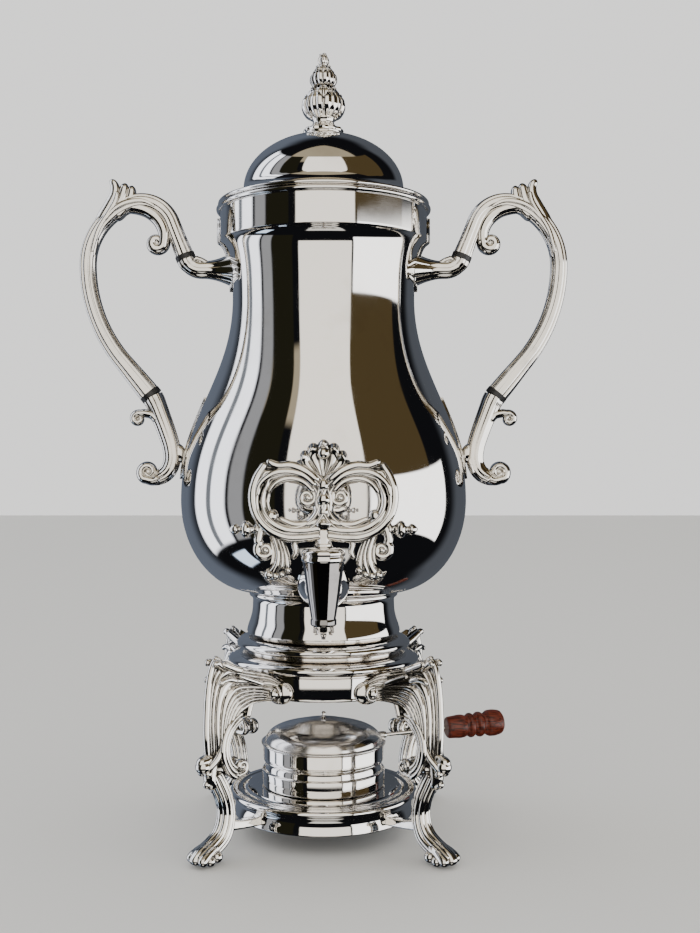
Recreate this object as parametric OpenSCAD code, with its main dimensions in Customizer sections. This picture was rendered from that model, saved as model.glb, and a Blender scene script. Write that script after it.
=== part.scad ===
// Footed coffee urn with a rotary tap, two insulated handles and a spirit burner.
// Units are millimetres. +Z is up, the tap faces -Y, and the origin lies on the urn's
// vertical axis in the plane that the four feet stand on.

/* [Stand] */
// Height of the stand's ring above the table
stand_h = 83.5; // [80:0.5:87]
// Outer radius of the stand's ring band
ring_r = 52; // [50.5:0.1:53]
// Height of the ring band
ring_h = 12.5; // [11.5:0.5:14]
// Sheet thickness of the ring band
ring_t = 1.6; // [1.2:0.1:2]
// Angle from the tap to the nearest leg, seen from above
leg_angle = 45; // [42:1:48]

/* [Legs] */
// Distance that the knee stands out from the ring
knee_out = 34; // [32:0.5:35]
// Width of the knee's leaf
knee_w = 13; // [11:0.5:14]
// Width of the leg's shank
shank_w = 7; // [6:0.5:8]
// Distance from the ring to the middle of the ankle
ankle_out = 24.3; // [24:0.1:26]
// Distance from the ring to the tip of the foot
toe_out = 47.5; // [45:0.5:50]
// Width across the three toes
toe_w = 11; // [10:0.5:12]
// Angle from the middle of a leg to the tip of its arms
arm_angle = 26; // [24:0.5:28]
// Angle from the middle of a leg to the rivet in each arm
rivet_angle = 16.6; // [15:0.2:19]
// Radius of a rivet's shank
rivet_r = 1.5; // [1.2:0.1:1.8]
// Radius of a rivet's domed head
rivet_head_r = 3; // [2.6:0.1:3.4]

/* [Tray] */
// Height of the burner tray's top
tray_z = 26.3; // [24:0.5:27]
// Radius of the tray's rolled edge
tray_r = 54; // [52:0.5:55]
// Radius of the tray's skirt
skirt_r = 51; // [49:0.5:51.5]
// Height of the skirt's lower edge above the table
skirt_z = 11; // [9:0.5:13]
// Sheet thickness of the tray
tray_t = 1.5; // [1.2:0.1:1.8]
// Radius of the screws that hold the tray to the legs
tray_screw_r = 1.5; // [1.2:0.1:1.6]

/* [Burner] */
// Outer radius of the burner's fuel cup
burner_r = 35.5; // [33:0.5:36]
// Height of the fuel cup
burner_h = 23.4; // [21:0.5:25]
// Sheet thickness of the burner's pieces
burner_t = 1.2; // [1:0.1:1.5]
// Outer radius of the wick tube
wick_tube_r = 6.5; // [5.5:0.1:8]
// Height that the wick tube stands above the burner plate
wick_tube_h = 6; // [4:0.5:7]
// Height of the snuffer's dome above its brim
snuffer_h = 12.5; // [11:0.5:14]
// Radius of the snuffer's brim
snuffer_r = 36.2; // [36:0.1:37]
// Radius of the wire that carries the wooden grip
wire_r = 1.1; // [0.8:0.1:1.4]
// Length of the wire between the snuffer and the grip
wire_l = 42; // [38:1:46]
// Length of the wooden grip
wood_l = 36; // [32:1:40]
// Largest radius of the wooden grip
wood_r = 7.8; // [6:0.1:9]
// Angle of the wire from the +X axis, seen from above
wire_angle = 14; // [8:1:20]

/* [Pedestal] */
// Height of the pedestal between the ring and the urn's body
pedestal_h = 43; // [42:0.5:45]
// Radius of the drum where it meets its grooves
drum_r = 44.4; // [43.5:0.1:45]
// Radius of the pedestal's neck under the body
drum_neck_r = 41; // [40:0.1:42]
// Distance that the upper moulding stands out from its groove
upper_moulding_out = 11; // [9:0.5:12]
// Distance that the lower moulding stands out from the ring
lower_moulding_out = 3.4; // [2.6:0.1:4]
// Sheet thickness of the pedestal
pedestal_t = 1.5; // [1.2:0.1:1.7]

/* [Body] */
// Sheet thickness of the urn's body
body_t = 1.5; // [1:0.1:2]
// Largest radius of the belly
belly_r = 82.4; // [81:0.1:84]
// Height of the belly's widest place above the body's bottom
belly_rise = 52.3; // [50:0.1:55]
// Radius of the flat bottom, where the belly starts
bottom_r = 41.4; // [40:0.1:42]
// Smallest radius of the neck
neck_r = 52.7; // [51:0.1:54]
// Height of the neck's smallest place above the body's bottom
neck_rise = 169; // [167:0.5:171]
// Radius of the collar under the mouth
collar_r = 60; // [59:0.1:61]
// Height of the collar band
collar_h = 18; // [16:0.5:19]
// Height of the mouth above the body's bottom
body_h = 219; // [218:0.5:223]
// Radius of the half-round bead on the mouth
bead_r = 1.5; // [1.2:0.1:1.8]

/* [Lid] */
// Sheet thickness of the lid
lid_t = 1.2; // [1:0.1:1.6]
// Radius of the foot of the lid's dome
dome_r = 46.5; // [44:0.5:48]
// Height of the dome
dome_h = 32; // [29:0.5:34]
// Height of the concave flange between the rim and the dome
flange_h = 8; // [7.5:0.5:10]
// Depth of the bezel that goes down into the mouth
bezel_h = 11; // [8:0.5:14]
// Running clearance between the bezel and the mouth
bezel_gap = 0.6; // [0.4:0.1:1]
// Height of the finial
finial_h = 48; // [44:0.5:50]
// Radius of the finial's stud
stud_r = 2; // [1.6:0.1:2.5]

/* [Handles] */
// Distance of the grip's outermost line from the belly
grip_out = 54.6; // [53:0.1:57]
// Radius of the slender part of the grip
grip_r = 4.7; // [4.3:0.1:5]
// Radius of the grip at the lower washer
grip_end_r = 6.3; // [5.6:0.1:6.6]
// Height of the grip's lower end above the body's bottom
grip_low = 114.3; // [113:0.1:117]
// Direction in which the grip leaves its lower washer, from the horizontal
grip_lean = 50.5; // [49:0.5:52]
// Thickness of the insulating washers
washer_t = 3; // [2.4:0.2:3.6]
// Thickness of the leaves that lie on the body under the sockets
leaf_t = 2.2; // [1.8:0.1:2.6]
// Radius of the studs through the insulating washers
pin_r = 1.5; // [1.2:0.1:1.8]

/* [Tap] */
// Distance of the tap's vertical axis from the urn's axis
tap_reach = 130; // [129.5:0.5:134]
// Height of the tap's inlet above the body's bottom
inlet_rise = 11; // [10:0.2:12]
// Radius of the tap body under its bonnet
tap_top_r = 9.8; // [9.2:0.1:10.2]
// Radius of the tap body's nozzle
nozzle_r = 6.2; // [5.8:0.1:6.6]
// Length of the tap body from its nozzle to its bonnet
tap_h = 30; // [29:0.5:31]
// Height of the bonnet
bonnet_h = 7; // [6:0.5:8]
// Radius of the bonnet
bonnet_r = 10.35; // [10.3:0.1:11]
// Radius of the plug in the tap body
plug_r = 4.9; // [4.5:0.1:5.2]
// Radius of the plug's stem
stem_r = 2.4; // [2:0.1:2.8]
// Radius of the water way through shank and plug
bore_r = 2.6; // [2:0.1:3]
// Outer radius of the shank between belly and tap
shank_r = 5; // [4.5:0.1:5.3]

/* [Key] */
// Distance from the key's axis to the middle of each loop
loop_x = 16; // [15.6:0.1:17]
// Radius of the window in each loop
window_r = 9.9; // [9:0.1:10.4]
// Radial width of a loop's moulded band
band_w = 9; // [8:0.1:9.6]
// Thickness of the key's bands
key_t = 5; // [4:0.2:6]
// Height of the loops' middle above the bonnet
loop_rise = 23; // [22.5:0.5:25]
// Half of the key's width at the tips of its side finials
key_half_w = 44.4; // [43:0.1:45]

/* [Hidden] */
$fn = 72;

fit = 0.05;           // radial clearance of a running or seated fit
lift_gap = 0.3;       // clearance under and around pieces that lift off
eps = 0.01;           // overlap that makes cuts and unions clean
joint = 0.12;         // step in size where two swept pieces overlap

// Levels of the stack, from the table up
ring_top = stand_h + ring_h;
body_z = ring_top + pedestal_h;
belly_z = body_z + belly_rise;
neck_z = body_z + neck_rise;
mouth_z = body_z + body_h;
collar_z = mouth_z - collar_h;
lid_z = mouth_z + 2*bead_r - 0.5 + lift_gap;

// ---------------------------------------------------------------- outlines
// Cubic Bezier from a to d with handles b and c
function bez(a, b, c, d, n = 10) = [for (i = [0:n]) let (t = i/n, u = 1 - t)
    u*u*u*a + 3*u*u*t*b + 3*u*t*t*c + t*t*t*d];
// Points on an arc about [x, y]
function arc(x, y, r, a0, a1, n = 10) = [for (i = [0:n]) let (a = a0 + (a1 - a0)*i/n)
    [x + r*cos(a), y + r*sin(a)]];
// The same points in the opposite order
function back(p) = [for (i = [len(p) - 1:-1:0]) p[i]];
// The points mirrored across the second axis
function flip(p) = [for (q = p) [-q[0], q[1]]];

belly_fullness = 49.8;   // Bezier handle over the belly
neck_fullness = 47;      // Bezier handle under the neck
cove = 4;                // height of the cove's tight turn under the collar

// Outer line of the body from the bottom's edge to the mouth, moved out by d
function body_line(d) = concat(
    [for (i = [0:12]) let (a = -90 + 90*i/12)
        [bottom_r + (belly_r - bottom_r + d)*cos(a), belly_z + (belly_rise + d)*sin(a)]],
    bez([belly_r + d, belly_z], [belly_r + d, belly_z + belly_fullness],
        [neck_r + d, neck_z - neck_fullness], [neck_r + d, neck_z], 18),
    bez([neck_r + d, neck_z], [neck_r + d, collar_z - 3*cove],
        [neck_r + cove/2 + d, collar_z - cove/2], [collar_r + d, collar_z], 8),
    [[collar_r + d, mouth_z]]);

// Solid bounded by the body's outer line moved out by d
module body_core(d) {
    line = body_line(d);
    rotate_extrude() polygon(concat([[0, body_z - d]], line, [[0, mouth_z]]));
}

// A bar of radius r from one point to another, with r2 at its far end
module bar(a, b, r, r2 = -1) {
    v = b - a;
    l = norm(v);
    translate(a) rotate([0, acos(v[2]/l), atan2(v[1], v[0])])
        cylinder(h = l, r1 = r, r2 = r2 < 0 ? r : r2, $fn = 32);
}

// A ball at a point
module ball(p, r, fn = 32) { translate(p) sphere(r = r, $fn = fn); }

// A rounded link between two points, with its own radius at each
module link(a, b, ra, rb, fn = 16) hull() {
    ball(a, ra, fn);
    ball(b, rb, fn);
}

// Section of a cast scroll: rippled on its outer side, flat towards the curve's centre
function cast_section(r, wide = 1, step = 14) = [for (a = [-140:step:140])
    r*(1 + 0.09*cos(3.6*a))*[cos(a), wide*sin(a)]];

// Part of a ring in the XZ plane about [x, z], with a cast section of radius r
module scroll(x, z, ring, r, a0, a1, y = 0, wide = 1) {
    translate([x, y, z]) rotate([90, 0, 0]) rotate([0, 0, a0]) rotate_extrude(angle = a1 - a0,
        $fn = 96) translate([ring, 0]) polygon(cast_section(r, wide));
}

// Straight run of the same section from point p, with its outer side to the right
module run(p, heading, l, r) {
    translate(p) rotate([90, 0, 0]) rotate([0, 0, heading - 90]) rotate([-90, 0, 0])
        linear_extrude(l) polygon(cast_section(r));
}

// Outline in the XZ plane, extruded to width w about y = 0
module slab(points, w, y = 0) {
    translate([0, y + w/2, 0]) rotate([90, 0, 0]) linear_extrude(w) polygon(points);
}

// ---------------------------------------------------------------- body and lid
module body_shell() color("silver") {
    outer = body_line(0);
    inner = body_line(-body_t);
    difference() {
        rotate_extrude() polygon(concat([[0, body_z]], outer, back(inner),
            [[0, body_z + body_t]]));
        translate([0, -bottom_r, inlet_z]) rotate([90, 0, 0])
            cylinder(h = belly_r, r = bore_r + 1, $fn = 32);
    }
}

module rim_bead() color("gainsboro") {
    rotate_extrude() difference() {
        union() {
            translate([collar_r + bead_r/2, mouth_z + bead_r/2]) circle(r = bead_r, $fn = 32);
            translate([collar_r - body_t, mouth_z]) square([body_t, 2*bead_r - 0.5]);
        }
        translate([collar_r - body_t - eps, mouth_z - 2*bead_r])
            square([body_t + eps, 2*bead_r]);
        translate([collar_r - 2*body_t, mouth_z + 2*bead_r - 0.5]) square([4*body_t, bead_r]);
    }
}

flange_z = lid_z + 2.4;           // top of the lid's rolled edge
dome_z = flange_z + flange_h;     // level of the dome's foot
dome_top = dome_z + dome_h;
edge_r = collar_r + bead_r/2 + bead_r/3;
stud_hole = stud_r + fit;
// Outer line of the lid from its edge to the finial's seat
function lid_line(d) = concat(
    arc(edge_r - 1.2, lid_z + 1.2, 1.2 + d, -90, 90, 6),
    bez([edge_r - 4, flange_z + d/2], [dome_r + 6, flange_z + 0.5 + d],
        [dome_r + 1 + d, flange_z + flange_h/2], [dome_r + d, dome_z], 8),
    [for (a = [6:6:84]) [(dome_r + d)*cos(a), dome_z + (dome_h + d)*sin(a)]],
    [[stud_hole, dome_top + d]]);

module lid_shell() color("silver") {
    outer = lid_line(0);
    inner = [for (p = lid_line(-lid_t)) if (p[1] > flange_z - lid_t - eps || p[0] < dome_r) p];
    rotate_extrude() polygon(concat(outer, back(inner), [[dome_r + 4, lid_z]]));
}

bezel_r = collar_r - body_t - bezel_gap;
module lid_bezel() color("gainsboro") {
    rotate_extrude() difference() {
        translate([bezel_r - lid_t, mouth_z - bezel_h])
            square([lid_t, bezel_h + lid_z - mouth_z]);
        translate([bezel_r, mouth_z - bezel_h]) circle(r = 0.6, $fn = 4);
    }
}

finial_z = dome_top;
module finial() color("gainsboro") {
    s = finial_h/48;
    rotate_extrude() polygon(concat([[0, finial_z], [10.6, finial_z]],
        arc(10, finial_z + 2.6*s, 1.9, -60, 90, 6),
        bez([9.6, finial_z + 4.6*s], [7.4, finial_z + 6*s], [6.6, finial_z + 7*s],
            [6.8, finial_z + 10*s], 6),
        bez([6.8, finial_z + 10*s], [11.6, finial_z + 14*s], [9.6, finial_z + 20*s],
            [7.2, finial_z + 25*s], 8),
        bez([7.2, finial_z + 25*s], [4.8, finial_z + 29*s], [7.2, finial_z + 34*s],
            [4.6, finial_z + 39*s], 8),
        bez([3.6, finial_z + 40*s], [3.8, finial_z + 44*s], [2.4, finial_z + 47.5*s],
            [0, finial_z + 48*s], 6)));
    // scalloped foot, calyx of drooping leaves, upper petals and bud
    translate([0, 0, finial_z + 1.2*s]) linear_extrude(2.6*s)
        polygon([for (a = [0:6:354]) (10.9 + 0.8*cos(12*a))*[cos(a), sin(a)]]);
    for (a = [0:60:300]) rotate(a) {
        ball([8.4, 0, finial_z + 17.2*s], 3.9);
        rotate(30) ball([6.6, 0, finial_z + 22.6*s], 3.1);
    }
    for (a = [15:72:303]) rotate(a) {
        ball([4.9, 0, finial_z + 33.4*s], 3);
        rotate(36) ball([3.4, 0, finial_z + 38.6*s], 2.2);
    }
    for (a = [50:120:290]) rotate(a) ball([1.7, 0, finial_z + 43*s], 2.2);
    // threaded stud, which goes down through the dome
    translate([0, 0, dome_top - stud_l]) cylinder(h = stud_l + 1, r = stud_r, $fn = 32);
}
stud_l = 8;

nut_h = 3.2;
nut_r = 2.1*stud_r;
// level at which the nut's corners meet the inside of the dome
nut_top = dome_z + (dome_h - lid_t)*sqrt(1 - pow(nut_r/(dome_r - lid_t), 2)) - fit;
module finial_nut() color("darkgray") {
    translate([0, 0, nut_top - nut_h]) difference() {
        cylinder(h = nut_h, r = nut_r, $fn = 6);
        translate([0, 0, -1]) cylinder(h = nut_h + 2, r = stud_hole, $fn = 32);
    }
}

// ---------------------------------------------------------------- handles
// The grip is a chain of tangent lines and arcs in the XZ plane, from the lower washer up.
rise_l = 24.5;      // straight rise above the lower washer
side_arc = 87.3;    // radius of the long outer bow
crown_arc = 38;     // radius of the bow under the crest
hook_arc = 18.5;    // radius of the hook over the upper washer
drop_l = 20.5;      // straight drop to the upper washer
crown_turn = 160;   // heading where the crown passes into the hook
drop_turn = 248.5;  // heading of the drop
grip_x = belly_r + grip_out;                         // outermost centreline
bow_x = grip_x - side_arc;
bow_z = body_z + grip_low + rise_l*sin(grip_lean) + side_arc*cos(grip_lean);
crown_x = grip_x - crown_arc;
hook_x = crown_x + (crown_arc - hook_arc)*sin(crown_turn);
hook_z = bow_z - (crown_arc - hook_arc)*cos(crown_turn);
rise_top = [bow_x + side_arc*sin(grip_lean), 0, bow_z - side_arc*cos(grip_lean)];
rise_dir = [cos(grip_lean), 0, sin(grip_lean)];
grip_foot = rise_top - rise_l*rise_dir;
drop_top = [hook_x + hook_arc*sin(drop_turn), 0, hook_z - hook_arc*cos(drop_turn)];
drop_dir = [cos(drop_turn), 0, sin(drop_turn)];
grip_head = drop_top + drop_l*drop_dir;
head_r = grip_r + 0.9;      // radius at the upper washer
pin_depth = 6;              // depth of a stud in grip and socket

module grip() color("silver") difference() {
    union() {
        // lines and arcs overlap, and every other one is a little slimmer
        run(grip_foot + 3*rise_dir, grip_lean, rise_l - 2.5, grip_r - joint);
        bar(grip_foot, grip_foot + 0.85*rise_l*rise_dir, grip_end_r, grip_r*0.8);
        scroll(bow_x, bow_z, side_arc, grip_r, grip_lean - 90, 0);
        scroll(crown_x, bow_z, crown_arc, grip_r - joint, -1, crown_turn - 89);
        scroll(hook_x, hook_z, hook_arc, grip_r, crown_turn - 90, drop_turn - 90);
        run(drop_top - 0.5*drop_dir, drop_turn, drop_l - 1.5, grip_r - joint);
        bar(drop_top + 0.3*drop_l*drop_dir, grip_head, grip_r*0.8, head_r);
        // crest of three leaf tips over the crown
        crest = [crown_x + crown_arc*cos(48), 0, bow_z + crown_arc*sin(48)];
        bar(crest, crest + [1.4, 0, 25], grip_r + 0.6, 1.7);
        ball(crest + [1.4, 0, 25.2], 2.1);
        tip = [crown_x + crown_arc*cos(66), 0, bow_z + crown_arc*sin(66)];
        bar(tip, tip + [-1.4, 0, 12.5], grip_r + 0.4, 2);
        ball(tip + [-1.4, 0, 12.5], 2.6);
        bar(tip + [-4, 0, 0], tip + [-6, 0, 10.5], 3.6, 1.5);
        ball(tip + [-6, 0, 10.7], 2);
        // inner volute on its short neck
        bar(volute, drop_top + 10*drop_dir, 2.9, 3.4);
        ball(volute, 4.9);
        translate(volute) rotate([90, 0, 0])
            cylinder(h = 2.4*grip_r, r = 2.6, center = true, $fn = 32);
    }
    for (end = [[grip_foot, rise_dir], [grip_head, -drop_dir]])
        bar(end[0] - end[1], end[0] + pin_depth*end[1], pin_r + fit);
}
volute = [hook_x - 8.8, 0, hook_z - 5.8];    // centre of the grip's inner volute

module washer(p, dir, r) color("black") difference() {
    bar(p - washer_t*dir, p, r);
    bar(p - (washer_t + 1)*dir, p + dir, pin_r + fit);
}
module lower_washer() { washer(grip_foot - fit*rise_dir, rise_dir, grip_end_r + 0.15); }
module upper_washer() { washer(grip_head + fit*drop_dir, -drop_dir, head_r + 0.2); }

// Leaf shape that lies on the body, cut from a skin of the body's own form
module body_leaf(points) {
    intersection() {
        difference() {
            body_core(leaf_t);
            body_core(fit);
        }
        rotate([90, 0, 90]) linear_extrude(2*belly_r) polygon(points);
    }
}

socket_top = grip_foot - (washer_t + 2*fit)*rise_dir;
socket_turn = 20;    // turn between the washer and the socket's stem
turn_r = 14;
turn_x = socket_top[0] + turn_r*sin(grip_lean);
turn_z = socket_top[2] - turn_r*cos(grip_lean);
stem_head = 180 + grip_lean + socket_turn;
stem_top = [turn_x + turn_r*sin(stem_head), 0, turn_z - turn_r*cos(stem_head)];
touch_x = belly_r + 5.6;      // the stem's lower end, just clear of the belly's leaf
stem_l = (stem_top[0] - touch_x)/-cos(stem_head);
stem_low = stem_top + stem_l*[cos(stem_head), 0, sin(stem_head)];
curl_r = 13;
curl_x = stem_low[0] - curl_r*sin(stem_head);
curl_z = stem_low[2] + curl_r*cos(stem_head);
lower_stem_r = 5;

module lower_socket() color("silver") {
    difference() {
        union() {
            bar(socket_top, stem_top, grip_end_r, grip_end_r - 0.5);
            ball(stem_top, grip_end_r);
            bar(stem_top, stem_low, grip_end_r - 0.5, lower_stem_r - 0.3);
            ball(stem_low, lower_stem_r + 0.2);
            scroll(curl_x, curl_z, curl_r, lower_stem_r, stem_head - 90, 270);
            // volutes: the large one closes the curl, the small one sits on the back
            end = [curl_x + 1.6, 0, curl_z - curl_r + 4];
            ball(end, 6);
            translate(end) rotate([90, 0, 0])
                cylinder(h = 13.4, r = 3.2, center = true, $fn = 32);
            spur = [socket_top[0] + 8, 0, socket_top[2] - 11.5];
            ball(spur, 4.2);
            bar(spur, stem_top + [1, 0, -4], 2.8, 3.6);
            // bridge to the belly's leaf
            bar(stem_low + [0, 0, 4], [belly_r - 4, 0, stem_low[2] + 4], 4.4, 5);
        }
        body_core(fit);
        // flat seat under the washer, and the stud's hole
        bar(socket_top, socket_top + 4*washer_t*rise_dir, 2*grip_end_r);
        bar(socket_top + rise_dir, socket_top - pin_depth*rise_dir, pin_r + fit);
    }
    leaf_top = stem_low[2] + 30;
    leaf_low = stem_low[2] - 18;
    side = bez([0, leaf_low], [5, leaf_low + 3], [9, leaf_low + 12], [6.5, leaf_low + 22], 6);
    upper = bez([6.5, leaf_low + 22], [8, leaf_top - 16], [4, leaf_top - 8], [0, leaf_top], 6);
    body_leaf(concat(side, upper, flip(back(upper)), flip(back(side))));
}

arm_turn = 9.5;      // radius of the upper socket's bend
arm_top = grip_head + (washer_t + 2*fit)*drop_dir;
arm_x = arm_top[0] + arm_turn*sin(drop_turn);
arm_cz = arm_top[2] - arm_turn*cos(drop_turn);
arm_r = 4.8;
arm_z = arm_cz - arm_turn;
module upper_socket() color("silver") {
    difference() {
        union() {
            bar(arm_top, arm_top + 2.4*drop_dir, head_r, head_r - 0.4);
            scroll(arm_x, arm_cz, -arm_turn, arm_r, drop_turn - 90, 90);
            bar([arm_x, 0, arm_z], [neck_r - 4, 0, arm_z], arm_r*0.96);
            bar([neck_r + 7, 0, arm_z], [neck_r - 2, 0, arm_z], arm_r, 10.5);
            ball([arm_x + 2, 0, arm_z + 4.6], 3.4);
        }
        body_core(fit);
        bar(arm_top - drop_dir, arm_top + pin_depth*drop_dir, pin_r + fit);
    }
    leaf_top = mouth_z - 3;
    leaf_low = arm_z - 13;
    side = bez([0, leaf_low], [6, leaf_low + 1], [12, leaf_low + 8], [9, leaf_low + 17], 6);
    upper = bez([9, leaf_low + 17], [6, leaf_low + 24], [9, leaf_top - 12], [0, leaf_top], 8);
    body_leaf(concat(side, upper, flip(back(upper)), flip(back(side))));
}
module handle_studs() color("darkgray") for (side = [0, 1]) mirror([side, 0, 0]) {
    for (end = [[grip_foot, rise_dir, washer_t], [grip_head, -drop_dir, washer_t]])
        bar(end[0] - (end[2] + pin_depth - 1)*end[1], end[0] + (pin_depth - 1)*end[1], pin_r);
}

// ---------------------------------------------------------------- pedestal and ring
moulding_low = ring_top + 5.4;       // level of the lower moulding's nose
moulding_up = ring_top + 14;         // level of the upper moulding's nose
groove_r = drum_r - 5;
lower_nose = ring_r + lower_moulding_out;
upper_nose = groove_r + upper_moulding_out;
ring_seat_w = 6;
module pedestal() color("silver") {
    outer = concat([[ring_r - ring_seat_w + 1, ring_top], [ring_r, ring_top]],
        bez([ring_r, ring_top + 0.8], [lower_nose + 1.4, ring_top + 3],
            [lower_nose + 1, moulding_low + 1.6], [groove_r + 7, moulding_low + 3], 8),
        [[groove_r + 5, moulding_low + 3.4], [groove_r + 5, moulding_low + 4.2]],
        bez([groove_r + 6.5, moulding_low + 4.6], [upper_nose + 2, moulding_up - 3],
            [upper_nose + 1.6, moulding_up + 2], [groove_r + 3, moulding_up + 3.4], 8),
        [[groove_r, moulding_up + 3.8], [groove_r, moulding_up + 4.8],
         [drum_r, moulding_up + 5.4]],
        bez([drum_r, moulding_up + 5.4], [drum_r - 1, moulding_up + 12],
            [drum_neck_r, body_z - 16], [drum_neck_r, body_z - 6], 8),
        [[drum_neck_r, body_z - 4.2], [drum_neck_r + 1.7, body_z - 2.6],
         [drum_neck_r + 1.7, body_z - 1.2], [drum_neck_r + 0.6, body_z - fit]]);
    t = pedestal_t;
    inner = concat([[ring_r - ring_seat_w + 1, ring_top + t]],
        [[groove_r + 5 - t, moulding_low + 1.6], [groove_r + 5 - t, moulding_low + 4.6],
         [groove_r - t, moulding_up + 2], [groove_r - t, moulding_up + 6]],
        bez([groove_r - t + 1, moulding_up + 8], [drum_r - 1 - t, moulding_up + 12],
            [drum_neck_r - t, body_z - 16], [drum_neck_r - t, body_z - 6], 6),
        [[drum_neck_r - t, body_z - t - fit], [seat_r, body_z - t - fit],
         [seat_r, body_z - fit]]);
    rotate_extrude() polygon(concat(outer, back(inner)));
}
seat_r = 30;       // radius of the opening in the pedestal's top, under the body

module stand_ring() color("silver") difference() {
    rotate_extrude() {
        translate([ring_r - ring_t, stand_h + 0.8]) square([ring_t, ring_h - 0.8]);
        translate([ring_r - ring_seat_w, ring_top - ring_t]) square([ring_seat_w, ring_t]);
        translate([ring_r - ring_t/2, stand_h + 0.9]) circle(r = 0.9, $fn = 32);
    }
    at_rivets() translate([ring_r - 4, 0, rivet_z]) rotate([0, 90, 0])
        cylinder(h = 8, r = rivet_r + fit, $fn = 32);
}

// ---------------------------------------------------------------- legs
leg_angles = [-90 - leg_angle, -90 + leg_angle, 90 + leg_angle, 90 - leg_angle];
rivet_z = stand_h + 4.4;
module at_rivets() {
    for (a = leg_angles) for (s = [-1, 1]) rotate(a + s*rivet_angle) children();
}

knee_x = ring_r + knee_out;
ankle_x = ring_r + ankle_out;
toe_x = ring_r + toe_out;
hip_z = ring_top + 1;
// Radial outline of the acanthus knee, from the ring out, down and back
function knee_line(d = 0) = concat(
    bez([ring_r, hip_z], [ring_r + 12, hip_z + 1], [knee_x - 13, hip_z + 5],
        [knee_x - 5.5, stand_h + 25 + d], 6),
    arc(knee_x - 5, stand_h + 24.6 + d/2, 1.2, 90, 10, 3),
    bez([knee_x - 3.6, stand_h + 23 + d/3], [knee_x - 0.8 + d, stand_h + 14],
        [knee_x + d, stand_h - 2], [knee_x + d, stand_h - 18], 10),
    [[knee_x - 0.4 + d, stand_h - 26], [knee_x - 2 + d, stand_h - 33]]);
module knee_outline() {
    side = concat([[3, stand_h - 34]],
        bez([knee_w/2 - 1.5, stand_h - 28], [knee_w/2, stand_h - 18], [knee_w/2, stand_h - 8],
            [knee_w/2 + 2.4, stand_h + 4], 6),
        bez([knee_w/2 + 2.4, stand_h + 4], [knee_w/2 + 5, stand_h + 12],
            [knee_w/2 + 2, stand_h + 20], [2.4, stand_h + 27], 6));
    rotate([90, 0, 90]) linear_extrude(2*knee_x) polygon(concat(side, flip(back(side))));
}

scroll_r = 15;                       // centreline radius of the inner scroll
scroll_tube = 2.7;                   // radius of the scroll's section
scroll_x = knee_x - 19.5;
scroll_z = stand_h - 25;
arm_rod = 2.2;      // half thickness of an arm
rod_pitch = 3.1;    // spacing of the arms' grooves
fillet_r = 9.3;     // turn between the arms and the knee
arm_start = 12;     // angle at which an arm turns out into the knee

arm_line = ring_r + arm_rod + 0.4;     // radius of an arm's middle about the ring
// One side of the arms' plan: from the tip along the ring and out into the knee
function arm_side(d) = let (r = arm_line + arm_rod + d, turn = fillet_r - arm_rod - d)
    concat([[(r - 3.4)*cos(arm_angle), (r - 3.4)*sin(arm_angle)],
            [(r - 1.2)*cos(arm_angle + d), (r - 1.2)*sin(arm_angle + d)]],
        arc(0, 0, r, arm_angle - 1, arm_start, 5),
        arc((arm_line + fillet_r)*cos(arm_start), (arm_line + fillet_r)*sin(arm_start), turn,
            180 + arm_start, 270, 6), [[knee_x - 16, knee_w/2 - 0.6 + d]]);
// Layer of both arms between two heights
module arm_layer(d, low, high) {
    side = arm_side(d);
    translate([0, 0, stand_h + low]) linear_extrude(high - low)
        polygon(concat(arc(0, 0, ring_r - 1, -arm_angle, arm_angle, 9), side,
            [for (p = back(side)) [p[0], -p[1]]]));
}
module arms() {
    arm_layer(-0.8, 0.6, 3*rod_pitch + 4.2);
    for (k = [0:3]) {
        arm_layer(-0.1, rod_pitch*k + 1.3, rod_pitch*k + 3.5);
        arm_layer(0.25, rod_pitch*k + 1.8, rod_pitch*k + 3);
    }
    for (s = [-1, 1]) rotate(s*rivet_angle) translate([ring_r + 1, 0, rivet_z])
        rotate([0, 90, 0]) cylinder(h = 4.6, r = rivet_head_r + 0.7, $fn = 32);
}

// Radial outlines of the shank: outer line and inner line from the knee to the foot
foot_h = 12;
shank_top = stand_h - 41.5;
shank_out = concat(
    bez([ankle_x + 9, shank_top], [ankle_x + 4, shank_top - 3], [ankle_x + 2.4, shank_top - 9],
        [ankle_x + 2.5, shank_top - 17], 8),
    bez([ankle_x + 2.5, shank_top - 17], [ankle_x + 3, foot_h + 1],
        [ankle_x + 8, foot_h + 1], [toe_x - 9, foot_h - 1.5], 8),
    bez([toe_x - 9, foot_h - 1.5], [toe_x - 3, foot_h - 3.5], [toe_x, 5], [toe_x, 2.4], 5),
    [[toe_x - 1.2, 0]]);
shank_in = concat([[ankle_x + 6, 0]],
    bez([ankle_x + 6, 0], [ankle_x - 1, 3], [ankle_x - 3.1, 11], [ankle_x - 3.1, shank_top - 21], 8),
    bez([ankle_x - 3.1, shank_top - 21], [ankle_x - 2.8, shank_top - 10],
        [ankle_x, shank_top - 4], [ankle_x + 3, shank_top + 4], 8));

lug_w = 6;
lug_x = skirt_r + fit;
// Ear that reaches in from the shank to carry the tray's skirt
module lug() {
    slab(concat([[lug_x, skirt_z + 1.5], [ankle_x - 1, skirt_z + 3], [ankle_x - 1, tray_z + 6]],
        bez([ankle_x - 4, tray_z + 8], [ankle_x - 9, tray_z + 7], [tray_r + 4, tray_z + 1],
            [tray_r + 3, tray_z - 4], 5),
        [[tray_r + 0.8, tray_z - 7], [lug_x, tray_z - 7]]), lug_w);
}

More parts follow.
